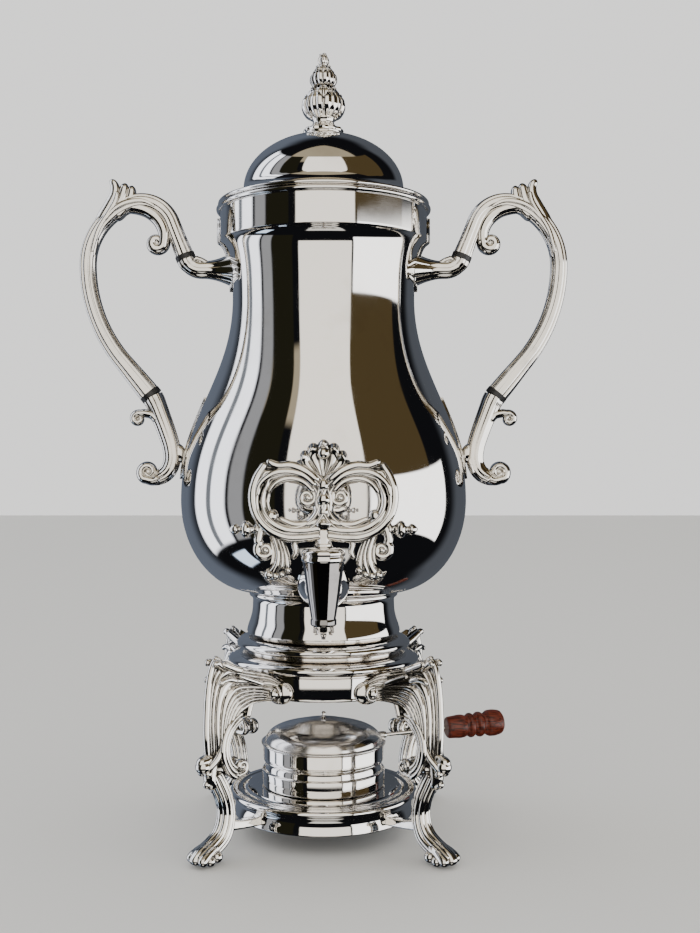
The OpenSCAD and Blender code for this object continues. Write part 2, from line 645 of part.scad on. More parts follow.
module leg() color("silver") difference() {
    union() {
        // knee leaf with its flutes
        intersection() {
            union() {
                slab(concat(knee_line(), [[knee_x - 4, stand_h - 33],
                    [knee_x - 6.5, stand_h - 20]], bez([knee_x - 7, stand_h - 10],
                    [knee_x - 8, stand_h], [ring_r + 12, stand_h + 0.2],
                    [ring_r, stand_h + 0.2], 6)), 30);
                for (y = [-8, -5.4, -2.7, 0, 2.7, 5.4, 8]) slab(concat(knee_line(0.9),
                    [[knee_x - 4, stand_h - 32], [knee_x - 8, stand_h],
                    [ring_r + 8, stand_h + 8]]), 1.5, y);
            }
            knee_outline();
        }
        union() arms();
        // curled tip of the knee's leaf
        ball([knee_x + 4, 0, stand_h - 31.5], 4.5);
        bar([knee_x - 3, 0, stand_h - 26], [knee_x + 4, 0, stand_h - 31.5], 3.4, 4);
        // inner scroll and its volutes
        scroll(scroll_x, scroll_z, scroll_r, scroll_tube, -72, 104, 0, 1.5);
        ball([ring_r + 11.5, 0, scroll_z + 13], 3.2);
        ball([scroll_x + 4.6, 0, scroll_z - 13.6], 4.4);
        translate([scroll_x + 4.6, 0, scroll_z - 13.6]) rotate([90, 0, 0])
            cylinder(h = 9.4, r = 2.4, center = true, $fn = 32);
        // shank: a core and two side flutes
        slab(concat(shank_out, shank_in), shank_w - 2.2);
        for (s = [-1, 1]) slab(concat([for (p = shank_out) [p[0] - 0.9, max(p[1] - 0.9, 0)]],
            [for (p = shank_in) [p[0] + 0.9, max(p[1], 0)]]), 2, s*(shank_w/2 - 1));
        bar([knee_x - 4, 0, stand_h - 31], [ankle_x + 4.5, 0, shank_top - 2], 3.6, 3.2);
        ball([ankle_x + 11, 0, shank_top], 2.2);
        bar([ankle_x + 11, 0, shank_top], [ankle_x + 4, 0, shank_top - 3], 2, 2.6);
        // three toes
        for (s = [-1, 0, 1]) {
            side = s*(toe_w/2 - 2.2);
            root = [toe_x - 14, s*1.6, foot_h - 6.5];
            tip = [toe_x - 3.4 - 1.2*abs(s), side, 3.2];
            bar(root, tip, 3.6, 2.8);
            ball(tip, 3.4);
        }
        lug();
    }
    // seat on the ring, flat soles, screw hole and rivet holes
    cylinder(h = 4*stand_h, r = skirt_r - 8);
    translate([0, 0, stand_h - 0.5]) cylinder(h = ring_h + 40, r = ring_r + fit);
    translate([0, -50, -20]) cube([2*toe_x, 100, 20]);
    translate([skirt_r - 4, 0, screw_z]) rotate([0, 90, 0])
        cylinder(h = screw_l + 1, r = tray_screw_r + fit, $fn = 32);
    for (s = [-1, 1]) rotate(s*rivet_angle) translate([ring_r - 4, 0, rivet_z])
        rotate([0, 90, 0]) cylinder(h = 20, r = rivet_r + fit, $fn = 32);
}
screw_z = skirt_z + 4.6;
screw_l = 12;

module leg_at(i) rotate(leg_angles[i]) leg();

module leg_rivets() color("gainsboro") at_rivets() {
    tail = ring_r - ring_t - 1.2;
    head = ring_r + 5.6 + fit;
    translate([tail, 0, rivet_z]) rotate([0, 90, 0]) {
        cylinder(h = head - tail + 0.5, r = rivet_r, $fn = 32);
        cylinder(h = 0.9, r = rivet_r + 0.8, $fn = 32);
        translate([0, 0, head - tail]) intersection() {
            translate([0, 0, -1.6]) sphere(r = rivet_head_r + 0.4, $fn = 32);
            cylinder(h = 4, r = rivet_head_r, $fn = 32);
        }
    }
}

// ---------------------------------------------------------------- tray and burner
module tray() color("silver") difference() {
    outer = concat([[0, tray_z], [tray_r - 10, tray_z]],
        bez([tray_r - 10, tray_z], [tray_r - 8, tray_z - 2.4], [tray_r - 5, tray_z - 0.4],
            [tray_r - 3.4, tray_z - 1.2], 5),
        arc(tray_r - 1.8, tray_z - 3, 1.8, 100, -80, 6),
        bez([tray_r - 1.6, tray_z - 5.4], [tray_r - 2.2, tray_z - 6.6],
            [skirt_r + 0.6, tray_z - 6], [skirt_r, tray_z - 8], 5),
        [[skirt_r, skirt_z + 1]], arc(skirt_r - 0.2, skirt_z + 0.9, 0.9, 0, -180, 5));
    t = tray_t;
    inner = [[skirt_r - t, skirt_z + 2], [skirt_r - t, tray_z - 7.4],
        [tray_r - 4.2, tray_z - 5.6], [tray_r - 4.2, tray_z - 3.4],
        [tray_r - 9, tray_z - 3], [tray_r - 11, tray_z - t], [0, tray_z - t]];
    rotate_extrude() polygon(concat(outer, inner));
    for (a = leg_angles) rotate(a) translate([skirt_r - 4, 0, screw_z]) rotate([0, 90, 0])
        cylinder(h = 8, r = tray_screw_r + fit, $fn = 32);
}

module tray_screws() color("gainsboro") for (a = leg_angles) rotate(a) {
    head_x = skirt_r - tray_t - fit;
    translate([head_x - 1.6, 0, screw_z]) rotate([0, 90, 0]) {
        cylinder(h = 1.6, r = 2*tray_screw_r, $fn = 32);
        cylinder(h = screw_l - 2.5, r = tray_screw_r, $fn = 32);
    }
}

cup_z = tray_z + lift_gap;
cup_top = cup_z + burner_h;
plate_z = cup_top - 3;
module burner_cup() color("silver") {
    r = burner_r;
    t = burner_t;
    outer = concat([[0, cup_z]], arc(r - 1.2, cup_z + 1.2, 1.2, -90, 0, 4),
        [[r, cup_z + 7.6]], arc(r - 1, cup_z + 8.4, 1, 0, 90, 4),
        [[r - 1.6, cup_z + 9.6], [r - 1.6, cup_z + 13.4], [r - 0.9, cup_z + 14.4],
         [r - 1.3, cup_z + 15.4], [r - 0.5, cup_z + 16.4], [r - 0.5, cup_top - 1]],
        arc(r - 1.3, cup_top - 0.8, 0.8, 0, 90, 4));
    inner = [[r - 1.6 - t, cup_top], [r - 1.6 - t, cup_z + 8], [r - 1.6 - t, cup_z + t],
        [0, cup_z + t]];
    rotate_extrude() polygon(concat(outer, inner));
}

module burner_plate() color("gainsboro") {
    edge = burner_r - 1.6 - burner_t - fit;
    tube = wick_tube_r;
    t = burner_t;
    rotate_extrude() polygon([[tube - t, cup_z + 4], [tube, cup_z + 4], [tube, plate_z - t],
        [tube + 5, plate_z - t], [tube + 7, plate_z - 2.4*t], [edge, plate_z - 2.4*t],
        [edge, plate_z], [edge - t, plate_z], [edge - t, plate_z - 1.4*t],
        [tube + 7.6, plate_z - 1.4*t], [tube + 5.6, plate_z], [tube, plate_z],
        [tube, plate_z + wick_tube_h], [tube - t, plate_z + wick_tube_h]]);
}

module wick() color("ivory") translate([0, 0, cup_z + burner_t + lift_gap])
    cylinder(h = plate_z + wick_tube_h + 1.2 - cup_z - burner_t - lift_gap,
        r = wick_tube_r - burner_t - fit, $fn = 48);

brim_z = cup_top + lift_gap;
snuffer_top = brim_z + burner_t + snuffer_h;
pin_hole = 1.3;
function snuffer_line(d) = concat(
    bez([snuffer_r - 2.4 + d, brim_z + burner_t], [snuffer_r - 3 + d, brim_z + 7],
        [snuffer_r - 9 + d, snuffer_top - 4.6 + d], [snuffer_r - 15 + d, snuffer_top - 3.4 + d], 8),
    bez([snuffer_r - 15 + d, snuffer_top - 3.4 + d], [snuffer_r - 22, snuffer_top - 1.6 + d],
        [10, snuffer_top + d], [pin_hole + fit, snuffer_top + d], 6));
module snuffer_cover() color("silver") difference() {
    union() {
        rotate_extrude() polygon(concat([[snuffer_r - 3.4, brim_z], [snuffer_r - 0.4, brim_z],
            [snuffer_r, brim_z + 0.5], [snuffer_r - 0.5, brim_z + burner_t]],
            snuffer_line(0), back(snuffer_line(-burner_t))));
        // lug on the brim that takes the wire
        rotate(wire_angle) bar([snuffer_r - 4.4, 0, wire_z], [snuffer_r + 2.6, 0, wire_z], 2.1);
    }
    translate([0, 0, brim_z - 5]) cylinder(h = 5, r = snuffer_r + 5);
    rotate(wire_angle) bar([snuffer_r - 3, 0, wire_z], [snuffer_r + 5, 0, wire_z], wire_r + fit);
    translate([0, 0, brim_z]) cylinder(h = 4.4, r = snuffer_r - 4.4 + fit);
}
wire_z = brim_z + 2.1;

module snuffer_pin() color("silver") {
    rotate_extrude() polygon(concat([[0, snuffer_top - burner_t - 1.4], [2.4, snuffer_top - burner_t - 1.4],
        [2.4, snuffer_top - burner_t - fit], [pin_hole, snuffer_top - burner_t - fit],
        [pin_hole, snuffer_top + fit], [2.2, snuffer_top + fit], [1.1, snuffer_top + 1.2]],
        arc(0, snuffer_top + 2.6, 1.5, -40, 90, 5)));
}

wire_tilt = 3;        // rise of the wire beyond its bend
wire_bend = [snuffer_r + 3.4, 0, wire_z];
wire_dir = [cos(wire_tilt), 0, sin(wire_tilt)];
wood_from = wire_bend + (wire_l - 6)*wire_dir;      // inner end of the wooden grip
wire_end = wood_from + wood_l/3*wire_dir;
module snuffer_wire() color("silver") rotate(wire_angle) {
    bar([snuffer_r - 2.5, 0, wire_z], wire_bend, wire_r);
    ball(wire_bend, wire_r + joint);
    bar(wire_bend, wire_end, wire_r);
}

module wooden_grip() color("sienna") difference() {
    r = wood_r;
    l = wood_l;
    rotate(wire_angle) translate(wood_from)
        rotate([0, 90 - wire_tilt, 0]) rotate_extrude() polygon(concat([[0, 0], [r*0.62, 0]],
            arc(r*0.62, r*0.24, r*0.24, -90, 0, 3),
            [[r*0.86, l*0.3], [r*0.8, l*0.33], [r*0.8, l*0.36], [r*0.92, l*0.39],
             [r*0.92, l*0.45], [r*0.78, l*0.48], [r*0.78, l*0.51], [r*0.94, l*0.54],
             [r*0.94, l*0.61], [r*0.8, l*0.64], [r*0.8, l*0.67], [r, l*0.72], [r, l*0.86]],
            arc(r*0.72, l - r*0.28, r*0.28, 10, 90, 4), [[0, l]]));
    rotate(wire_angle) bar(wood_from - 2*wire_dir, wire_end + fit*wire_dir, wire_r + fit);
}

// ---------------------------------------------------------------- tap
inlet_z = body_z + inlet_rise;
tap_y = -tap_reach;
nozzle_z = inlet_z - 14;
bonnet_z = nozzle_z + tap_h;
key_z = bonnet_z + bonnet_h;
plug_low = inlet_z - bore_r - 4.4;
socket_y = belly_r + 11.6;  // front face of the belly's socket
seal_t = 1.2;

module tap_socket() color("silver") difference() {
    translate([0, 0, inlet_z]) rotate([90, 0, 0]) rotate_extrude() polygon(concat(
        [[0, bottom_r + 6]], [[13.5, bottom_r + 6], [13.5, socket_y - 20]],
        bez([13.5, socket_y - 20], [12, socket_y - 12], [8.4, socket_y - 10],
            [8.2, socket_y - 4], 8),
        arc(8, socket_y - 2, 1.4, -60, 80, 4), [[7, socket_y], [0, socket_y]]));
    body_core(fit);
    translate([0, -belly_r/2, inlet_z]) rotate([90, 0, 0])
        cylinder(h = belly_r, r = bore_r, $fn = 32);
    translate([0, -socket_y + 10, inlet_z]) rotate([90, 0, 0])
        cylinder(h = 20, r = shank_r - 0.8 + fit, $fn = 32);
}

module tap_seal() color("black") translate([0, -socket_y - fit, inlet_z]) rotate([90, 0, 0])
    difference() {
        cylinder(h = seal_t, r = 6.6, $fn = 48);
        translate([0, 0, -1]) cylinder(h = seal_t + 2, r = shank_r - 0.8 + fit, $fn = 32);
    }

module tap_shank() color("silver") difference() {
    union() {
        translate([0, -socket_y + 9.4, inlet_z]) rotate([90, 0, 0])
            cylinder(h = 12, r = shank_r - 0.8, $fn = 48);
        flange = socket_y + seal_t + 2*fit;
        translate([0, -flange, inlet_z]) rotate([90, 0, 0]) {
            rotate_extrude() polygon([[0, 0], [7.4, 0], [8, 0.7], [8, 2], [7.2, 2.8],
                [shank_r + 0.6, 3.2], [shank_r, 5], [shank_r, tap_reach - flange - plug_r - 2],
                [0, tap_reach - flange - plug_r - 2]]);
        }
    }
    translate([0, -belly_r/2, inlet_z]) rotate([90, 0, 0])
        cylinder(h = tap_reach, r = bore_r, $fn = 32);
    translate([0, tap_y, nozzle_z]) tap_cone(fit);
}

// Tapered body of the tap, moved out by d
module tap_cone(d) {
    rotate_extrude() polygon(concat([[0, -d]], arc(nozzle_r - 1.2, 1.2, 1.2 + d, -90, 0, 4),
        [[nozzle_r + d, 3.2], [nozzle_r - 0.3 + d, 3.8], [tap_top_r + d, tap_h],
         [0, tap_h]]));
}

module tap_body() color("dimgray") difference() {
    translate([0, tap_y, nozzle_z]) tap_cone(0);
    translate([0, tap_y, nozzle_z - 1]) cylinder(h = tap_h, r = bore_r + 0.4, $fn = 32);
    translate([0, tap_y, plug_low - fit]) cylinder(h = tap_h, r = plug_r + fit, $fn = 48);
    translate([0, tap_y, inlet_z]) rotate([-90, 0, 0]) cylinder(h = 20, r = bore_r, $fn = 32);
}

module tap_bonnet() color("silver") translate([0, tap_y, bonnet_z + fit]) difference() {
    rotate_extrude() polygon([[0, 0], [bonnet_r - 0.5, 0], [bonnet_r, 0.6],
        [bonnet_r, bonnet_h*0.38], [bonnet_r - 0.6, bonnet_h*0.42],
        [bonnet_r, bonnet_h*0.5], [bonnet_r, bonnet_h*0.7], [bonnet_r - 1, bonnet_h - 1],
        [bonnet_r - 2.6, bonnet_h - fit], [0, bonnet_h - fit]]);
    translate([0, 0, -1]) cylinder(h = bonnet_h + 2, r = stem_r + fit, $fn = 32);
    translate([0, 0, -1]) cylinder(h = 1 + seal_t, r = plug_r, $fn = 32);
}

module tap_stem_seal() color("black") translate([0, tap_y, bonnet_z + fit]) difference() {
    cylinder(h = seal_t - fit, r = plug_r - fit, $fn = 48);
    translate([0, 0, -1]) cylinder(h = seal_t + 2, r = stem_r + fit, $fn = 32);
}

// The plug: its side port faces +X while the tap is closed
module tap_plug() color("goldenrod") translate([0, tap_y, 0]) difference() {
    union() {
        translate([0, 0, plug_low]) cylinder(h = bonnet_z - plug_low - fit, r = plug_r, $fn = 48);
        cylinder_at(bonnet_z - 1, stem_r, bonnet_h + 1 + neck_h*0.7);
    }
    cylinder_at(plug_low - 1, bore_r, inlet_z - plug_low + 1);
    translate([0, 0, inlet_z]) rotate([0, 90, 0]) cylinder(h = 10, r = bore_r, $fn = 32);
}
module cylinder_at(z, r, h) translate([0, 0, z]) cylinder(h = h, r = r, $fn = 32);

neck_h = 10;
neck_across = 3.75;
module key_neck() color("silver") translate([0, tap_y, key_z + lift_gap]) difference() {
    union() {
        cylinder(h = neck_h - lift_gap, r = neck_across, $fn = 8);
        translate([0, 0, 0.9]) cylinder(h = 1.2, r = neck_across + 0.7, $fn = 48);
        translate([0, 0, neck_h - 2.2]) cylinder(h = 1.4, r = neck_across + 0.7, $fn = 48);
    }
    translate([0, 0, -1]) cylinder(h = neck_h*0.7 + 1, r = stem_r + fit, $fn = 32);
}

// ---------------------------------------------------------------- key
loop_z = key_z + loop_rise;
// Rounded ridge of a band: centre x0, width w
function ridge(x0, w) = arc(x0, key_t*0.22, w/2, 180, 0, 3);
// Section of a loop's band: a flat back and a front of rounded ridges
module loop_section() {
    polygon(concat([[window_r, -key_t/2], [window_r, key_t*0.22]],
        ridge(window_r + band_w*0.16, band_w*0.24), ridge(window_r + band_w*0.46, band_w*0.34),
        ridge(window_r + band_w*0.81, band_w*0.34),
        [[window_r + band_w, -key_t*0.3], [window_r + band_w*0.9, -key_t/2]]));
}
leaf_x = loop_x + 8;
leaf_z = loop_z - 21.5;
// Section of the hanging leaf: four ridges between two radii about the leaf's centre
module leaf_section() {
    polygon(concat([[9.4, -2]], arc(11.4, 0, 2, 180, 0, 3), arc(15.4, 0.3, 2, 180, 0, 3),
        arc(19.4, 0.3, 2, 180, 0, 3), arc(23.2, 0, 1.8, 180, 0, 3), [[25, -2]]));
}
// Curl of the key: part of a tapering ring about [x, z], from angle a0 to a1
module curl(x, z, ring, r0, r1, a0, a1, y = 0, n = 4) {
    for (i = [0:n - 1]) {
        t0 = i/n;
        t1 = (i + 1)/n;
        link([x + ring*cos(a0 + (a1 - a0)*t0), y, z + ring*sin(a0 + (a1 - a0)*t0)],
            [x + ring*cos(a0 + (a1 - a0)*t1), y, z + ring*sin(a0 + (a1 - a0)*t1)],
            r0 + (r1 - r0)*t0, r0 + (r1 - r0)*t1, 8);
    }
}
module key_side() {
    // pierced loop with its ridged band; ridges face the front
    translate([loop_x, 0, loop_z]) rotate([90, 0, 0])
        rotate_extrude($fn = 48) loop_section();
    // curled leaf tip over the loop
    curl(loop_x + 2, loop_z + 3, 16, 3, 1.4, 92, 38);
    ball([loop_x + 14.6, 0, loop_z + 12.4], 2.2, 16);
    // volute inside the window, on its stem
    curl(loop_x - 6.2, loop_z + 1, 3.4, 1.9, 1.1, -150, 150, -0.6, 6);
    ball([loop_x - 6.4, -0.6, loop_z + 0.6], 2, 16);
    link([loop_x - 8.6, 0, loop_z - 6], [loop_x - 6, -0.6, loop_z - 2.4], 2.4, 1.7);
    // hanging acanthus leaf: ridges that bow outward, cut to a lobed outline
    intersection() {
        translate([leaf_x - 17.6, 0, leaf_z]) rotate([90, 0, 0]) rotate([0, 0, -60])
            rotate_extrude(angle = 120, $fn = 48) leaf_section();
        translate([leaf_x, 0, leaf_z]) slab([[-11.3, 15], [-10.8, 3], [-8.6, -8], [-6.4, -13],
            [-4.6, -10.4], [-2.4, -16], [0, -15.6], [1, -12], [3.6, -14], [5.6, -10.6],
            [4.7, -5.4], [6.8, -1.6], [6.4, 4], [9, 12], [6, 15]], 12);
    }
    curl(leaf_x + 4, leaf_z + 1, 3.6, 1.8, 1.2, 140, -110, -0.4, 5);
    ball([leaf_x + 3.8, -0.4, leaf_z + 0.8], 1.8, 16);
    // side finial
    finial_at = loop_z - 14.6;
    link([loop_x + 10, 0, loop_z - 9], [leaf_x + 6, 0, finial_at], 4, 2.9);
    translate([0, 0, finial_at]) rotate([0, 90, 0]) rotate_extrude($fn = 16) polygon(concat(
        [[0, leaf_x + 4], [2.6, leaf_x + 4], [2.2, key_half_w - 15], [3.2, key_half_w - 14],
         [2, key_half_w - 13]],
        bez([2, key_half_w - 12.6], [4.8, key_half_w - 11.6], [5, key_half_w - 8],
            [2.2, key_half_w - 6.4], 5),
        [[1.5, key_half_w - 5.6], [1.7, key_half_w - 3], [2.7, key_half_w - 2.4]],
        arc(0.9, key_half_w - 1.6, 1.6, 0, 80, 3), [[0, key_half_w]]));
}

module tap_key() color("silver") translate([0, tap_y, 0]) difference() {
    union() {
        key_side();
        mirror([1, 0, 0]) key_side();
        // palmette over the middle: a scalloped plate with five ribs
        fan_z = loop_z + 8;
        slab(concat([[-4, fan_z - 6], [-8, fan_z - 2]], [for (a = [-64:4:64])
            let (l = 17.2 - 3.2*abs(a)/56 + 1.6*cos(a*360/28)) [l*sin(a), fan_z + l*cos(a)]],
            [[8, fan_z - 2], [4, fan_z - 6]]), 2.6);
        for (a = [-56, -28, 0, 28, 56]) {
            l = 17.6 - 3.2*abs(a)/56;
            way = [sin(a), 0, cos(a)];
            link([0, 0, fan_z] + 3*way, [0, 0, fan_z] + l*way, 1.1, 3.1, 14);
        }
        // centre post with its balls
        link([0, 0, key_z + neck_h + 3.4], [0, 0, loop_z + 9], 4.4, 3.2);
        ball([0, -2, loop_z - 1], 3.9, 16);
        ball([0, -1, loop_z - 8.5], 3.4, 16);
        ball([0, -2.2, loop_z + 20.5], 3.4, 16);
    }
    translate([-50, key_t/2 + 0.6, key_z - 40]) cube([100, 10, 120]);
    translate([0, 0, key_z - 1]) cylinder(h = neck_h + 1 + fit, r = neck_across + 1, $fn = 48);
}

// ---------------------------------------------------------------- assembly
body_shell();
rim_bead();
lid_shell();
lid_bezel();
finial();
finial_nut();
mirror([1, 0, 0]) upper_socket();  // upper_socket_left
mirror([1, 0, 0]) upper_washer();  // upper_washer_left
mirror([1, 0, 0]) grip();  // grip_left
mirror([1, 0, 0]) lower_washer();  // lower_washer_left
mirror([1, 0, 0]) lower_socket();  // lower_socket_left
upper_socket();  // upper_socket_right
upper_washer();  // upper_washer_right
grip();  // grip_right
lower_washer();  // lower_washer_right
lower_socket();  // lower_socket_right
handle_studs();
pedestal();
stand_ring();
leg_at(0);  // leg_front_left
leg_at(1);  // leg_front_right
leg_at(2);  // leg_rear_left
leg_at(3);  // leg_rear_right
leg_rivets();
tray();
tray_screws();
burner_cup();
burner_plate();
wick();
snuffer_cover();
snuffer_pin();
snuffer_wire();
wooden_grip();
tap_socket();
tap_seal();
tap_shank();
tap_body();
tap_bonnet();
tap_plug();
tap_stem_seal();
tap_key();
key_neck();
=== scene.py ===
"""Looks of a footed silver-plated coffee urn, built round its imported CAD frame.

Lengths inside the script are millimetres; a mesh gets metres when it is written.
The urn's axis is Z, the tap faces -Y and the burner's wooden grip points towards +X.
"""
from __future__ import annotations

import logging
import math
from dataclasses import dataclass
from enum import Enum
from typing import Any, Callable, Sequence

import bpy
import numpy as np
from numpy.typing import NDArray
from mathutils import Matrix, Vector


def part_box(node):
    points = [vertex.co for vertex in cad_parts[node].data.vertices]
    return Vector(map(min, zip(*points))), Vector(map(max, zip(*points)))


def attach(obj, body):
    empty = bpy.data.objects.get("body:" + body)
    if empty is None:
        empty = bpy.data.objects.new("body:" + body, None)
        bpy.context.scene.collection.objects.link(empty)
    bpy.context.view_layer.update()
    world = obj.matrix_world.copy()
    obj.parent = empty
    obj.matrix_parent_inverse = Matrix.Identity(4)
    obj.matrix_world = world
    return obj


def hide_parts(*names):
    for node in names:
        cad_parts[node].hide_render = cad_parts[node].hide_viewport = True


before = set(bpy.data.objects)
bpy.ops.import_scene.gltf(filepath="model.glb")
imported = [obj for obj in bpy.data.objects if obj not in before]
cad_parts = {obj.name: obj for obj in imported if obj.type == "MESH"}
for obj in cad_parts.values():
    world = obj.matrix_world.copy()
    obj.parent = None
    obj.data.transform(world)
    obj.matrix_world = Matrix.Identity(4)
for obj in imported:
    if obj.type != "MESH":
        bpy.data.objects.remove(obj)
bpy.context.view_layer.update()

Array = NDArray[np.float64]
Whole = NDArray[np.int64]
Points = Sequence[Sequence[float]]
log = logging.getLogger("urn")
MM = 0.001
TAU = 2 * math.pi
RIGHT, SIDEWAYS, UP = np.eye(3)


# ------------------------------------------------------------------ curves
def chain(*parts: Any) -> Array:
    """One line through all its parts in order, each part a point or an array of points."""
    return np.concatenate([np.atleast_2d(np.asarray(part, float)) for part in parts])


def bezier(handles: Points, n: int) -> Array:
    """Points on a Bezier curve: the sum of its handles weighted by Bernstein polynomials.

    Args:
        handles: Control points, two or three numbers each.
        n: Number of points.
    Returns:
        Array of n points.
    """
    p = np.asarray(handles, float)
    k = len(p) - 1
    t = np.linspace(0, 1, n)[:, None]
    i = np.arange(k + 1)[None, :]
    binomial = np.array([math.comb(k, j) for j in range(k + 1)])[None, :]
    return (binomial * t**i * (1 - t) ** (k - i)) @ p


def spiral(x: float, y: float, r0: float, r1: float, start: float, stop: float, n: int) -> Array:
    """Spiral about a point: (x + r cos a, y + r sin a) while r and a each change evenly.

    Args:
        x: First coordinate of the centre.
        y: Second coordinate of the centre.
        r0: First radius.
        r1: Last radius.
        start: First angle in degrees.
        stop: Last angle in degrees.
        n: Number of points.
    Returns:
        Array of n points with two coordinates.
    """
    a, r = np.radians(np.linspace(start, stop, n)), np.linspace(r0, r1, n)
    return np.stack([x + r * np.cos(a), y + r * np.sin(a)], axis=1)


def arc(x: float, y: float, r: float, start: float, stop: float, n: int = 12) -> Array:
    """Part of a circle about a point, its angles in degrees."""
    return spiral(x, y, r, r, start, stop, n)


def travelled(path: Array, power: float = 1.0) -> Array:
    """Way gone along a path at each of its points, every step raised to a power first."""
    steps = np.linalg.norm(np.diff(path, axis=0), axis=1)
    return np.concatenate([[0], np.cumsum(steps**power)])


def spline(points: Array | Points, n: int) -> Array:
    """Smooth curve through points: cubic Hermite pieces with finite-difference slopes.

    Args:
        points: Points that the curve passes through.
        n: Number of samples.
    Returns:
        Array of n points.
    """
    p = np.asarray(points, float)
    d = travelled(p, 0.5)
    slope = np.gradient(p, d, axis=0)
    t = np.linspace(0, d[-1], n)
    i = np.clip(np.searchsorted(d, t, side="right") - 1, 0, len(p) - 2)
    h = (d[i + 1] - d[i])[:, None]
    s = (t - d[i])[:, None] / h
    return ((2 * s**3 - 3 * s**2 + 1) * p[i] + (s**3 - 2 * s**2 + s) * h * slope[i]
            + (3 * s**2 - 2 * s**3) * p[i + 1] + (s**3 - s**2) * h * slope[i + 1])


def even(path: Array, n: int, ends: float = 0.0) -> Array:
    """The same path with n points, spaced evenly along it or closer together at its ends.

    Args:
        path: Points of the path.
        n: Number of points.
        ends: 0 for even spacing, 1 for cosine spacing.
    Returns:
        Array of n points.
    """
    d = travelled(path)
    s = np.linspace(0, 1, n)
    s = (1 - ends) * s + ends * (0.5 - 0.5 * np.cos(math.pi * s))
    return np.stack([np.interp(s * d[-1], d, path[:, k]) for k in range(path.shape[1])], axis=1)


def in_plane(curve: Array | Points, y: float = 0.0) -> Array:
    """Points (x, z) as points in space at depth y."""
    x, z = np.asarray(curve, float).T
    return np.stack([x, np.full(len(x), y), z], axis=1)


def unit(v: Array) -> Array:
    """Vectors divided by their lengths."""
    return v / np.maximum(np.linalg.norm(v, axis=-1, keepdims=True), 1e-12)


def steps_round(n: int) -> Array:
    """Angles of n even steps round a circle."""
    return np.arange(n) * TAU / n


def ridges(phase: Array) -> Array:
    """Round ridges with sharp grooves between them, one for each pi of the phase: |cos| ^ 0.6."""
    return np.abs(np.cos(phase)) ** 0.6


# ------------------------------------------------------------------ surfaces
@dataclass
class Sheet:
    """A closed surface given by points on a grid; rows run along it and columns go round it.

    Attributes:
        points: Array of rows x columns x 3, in millimetres.
        ring_rows: True where the last row joins the first; otherwise a pole closes each end.
    """

    points: Array
    ring_rows: bool = False

    def mapped(self, change: Callable[[Array], Array]) -> Sheet:
        """The sheet with its points put through a function of arrays."""
        return Sheet(change(self.points), self.ring_rows)

    def placed(self, origin: Array | Sequence[float], x: Array, y: Array, z: Array) -> Sheet:
        """The sheet with its own axes laid along x, y and z from an origin."""
        return self.mapped(lambda p: np.asarray(origin, float) + p @ np.stack([x, y, z]))

    def turned(self, degrees: float) -> Sheet:
        """The sheet turned about the urn's axis."""
        c, s = math.cos(math.radians(degrees)), math.sin(math.radians(degrees))
        return self.placed((0, 0, 0), c * RIGHT + s * SIDEWAYS, c * SIDEWAYS - s * RIGHT, UP)

    def moved(self, x: float, y: float, z: float) -> Sheet:
        """The sheet moved by a vector."""
        return self.placed((x, y, z), RIGHT, SIDEWAYS, UP)

    def mirrored(self, axis: int = 0) -> Sheet:
        """The sheet mirrored across the plane at zero of one axis."""
        return self.mapped(lambda p: p * np.where(np.arange(3) == axis, -1.0, 1.0))

    def polygons(self) -> tuple[Array, Whole, Whole]:
        """Vertices, quads and pole triangles, facing outwards by the sign of the volume.

        Returns:
            Points, quads and triangles, the last two as point numbers.
        """
        rows, cols = self.points.shape[:2]
        verts = self.points.reshape(-1, 3)
        i = np.arange(rows if self.ring_rows else rows - 1)[:, None]
        j = np.arange(cols)
        i2, j2 = (i + 1) % rows, (j + 1) % cols
        quads = np.stack([i * cols + j, i * cols + j2, i2 * cols + j2, i2 * cols + j], axis=-1)
        quads = quads.reshape(-1, 4)
        tris = np.zeros((0, 3), np.int64)
        if not self.ring_rows:
            verts = np.vstack([verts, self.points[[0, -1]].mean(axis=1)])
            pole, last = np.full(cols, rows * cols), (rows - 1) * cols
            tris = np.vstack([np.stack([pole, j2, j], axis=1),
                              np.stack([pole + 1, last + j, last + j2], axis=1)])
        all_tris = np.vstack([quads[:, [0, 1, 2]], quads[:, [0, 2, 3]], tris])
        a, b, c = (verts[all_tris[:, k]] for k in range(3))
        if np.einsum("ij,ij->", a, np.cross(b, c)) < 0:
            quads, tris = quads[:, ::-1], tris[:, ::-1]
        return verts, quads, tris


def lathe(profile: Array | Points, n: int = 224, wave: Callable[[Array], Array] = np.ones_like,
          loop: bool = False) -> Sheet:
    """Surface of revolution: (r cos a, r sin a, z) for each profile point (r, z).

    Args:
        profile: Points (radius, height); a closed ring's section with loop set.
        n: Number of steps round.
        wave: Factor on the radius as a function of the angle.
        loop: True where the profile is a closed ring that doesn't touch the axis.
    Returns:
        The turned surface.
    """
    a = steps_round(n)
    r, z = (line[:, None] for line in np.asarray(profile, float).T)
    r = r * wave(a)
    return Sheet(np.stack([r * np.cos(a), r * np.sin(a), np.broadcast_to(z, r.shape)], axis=-1), loop)


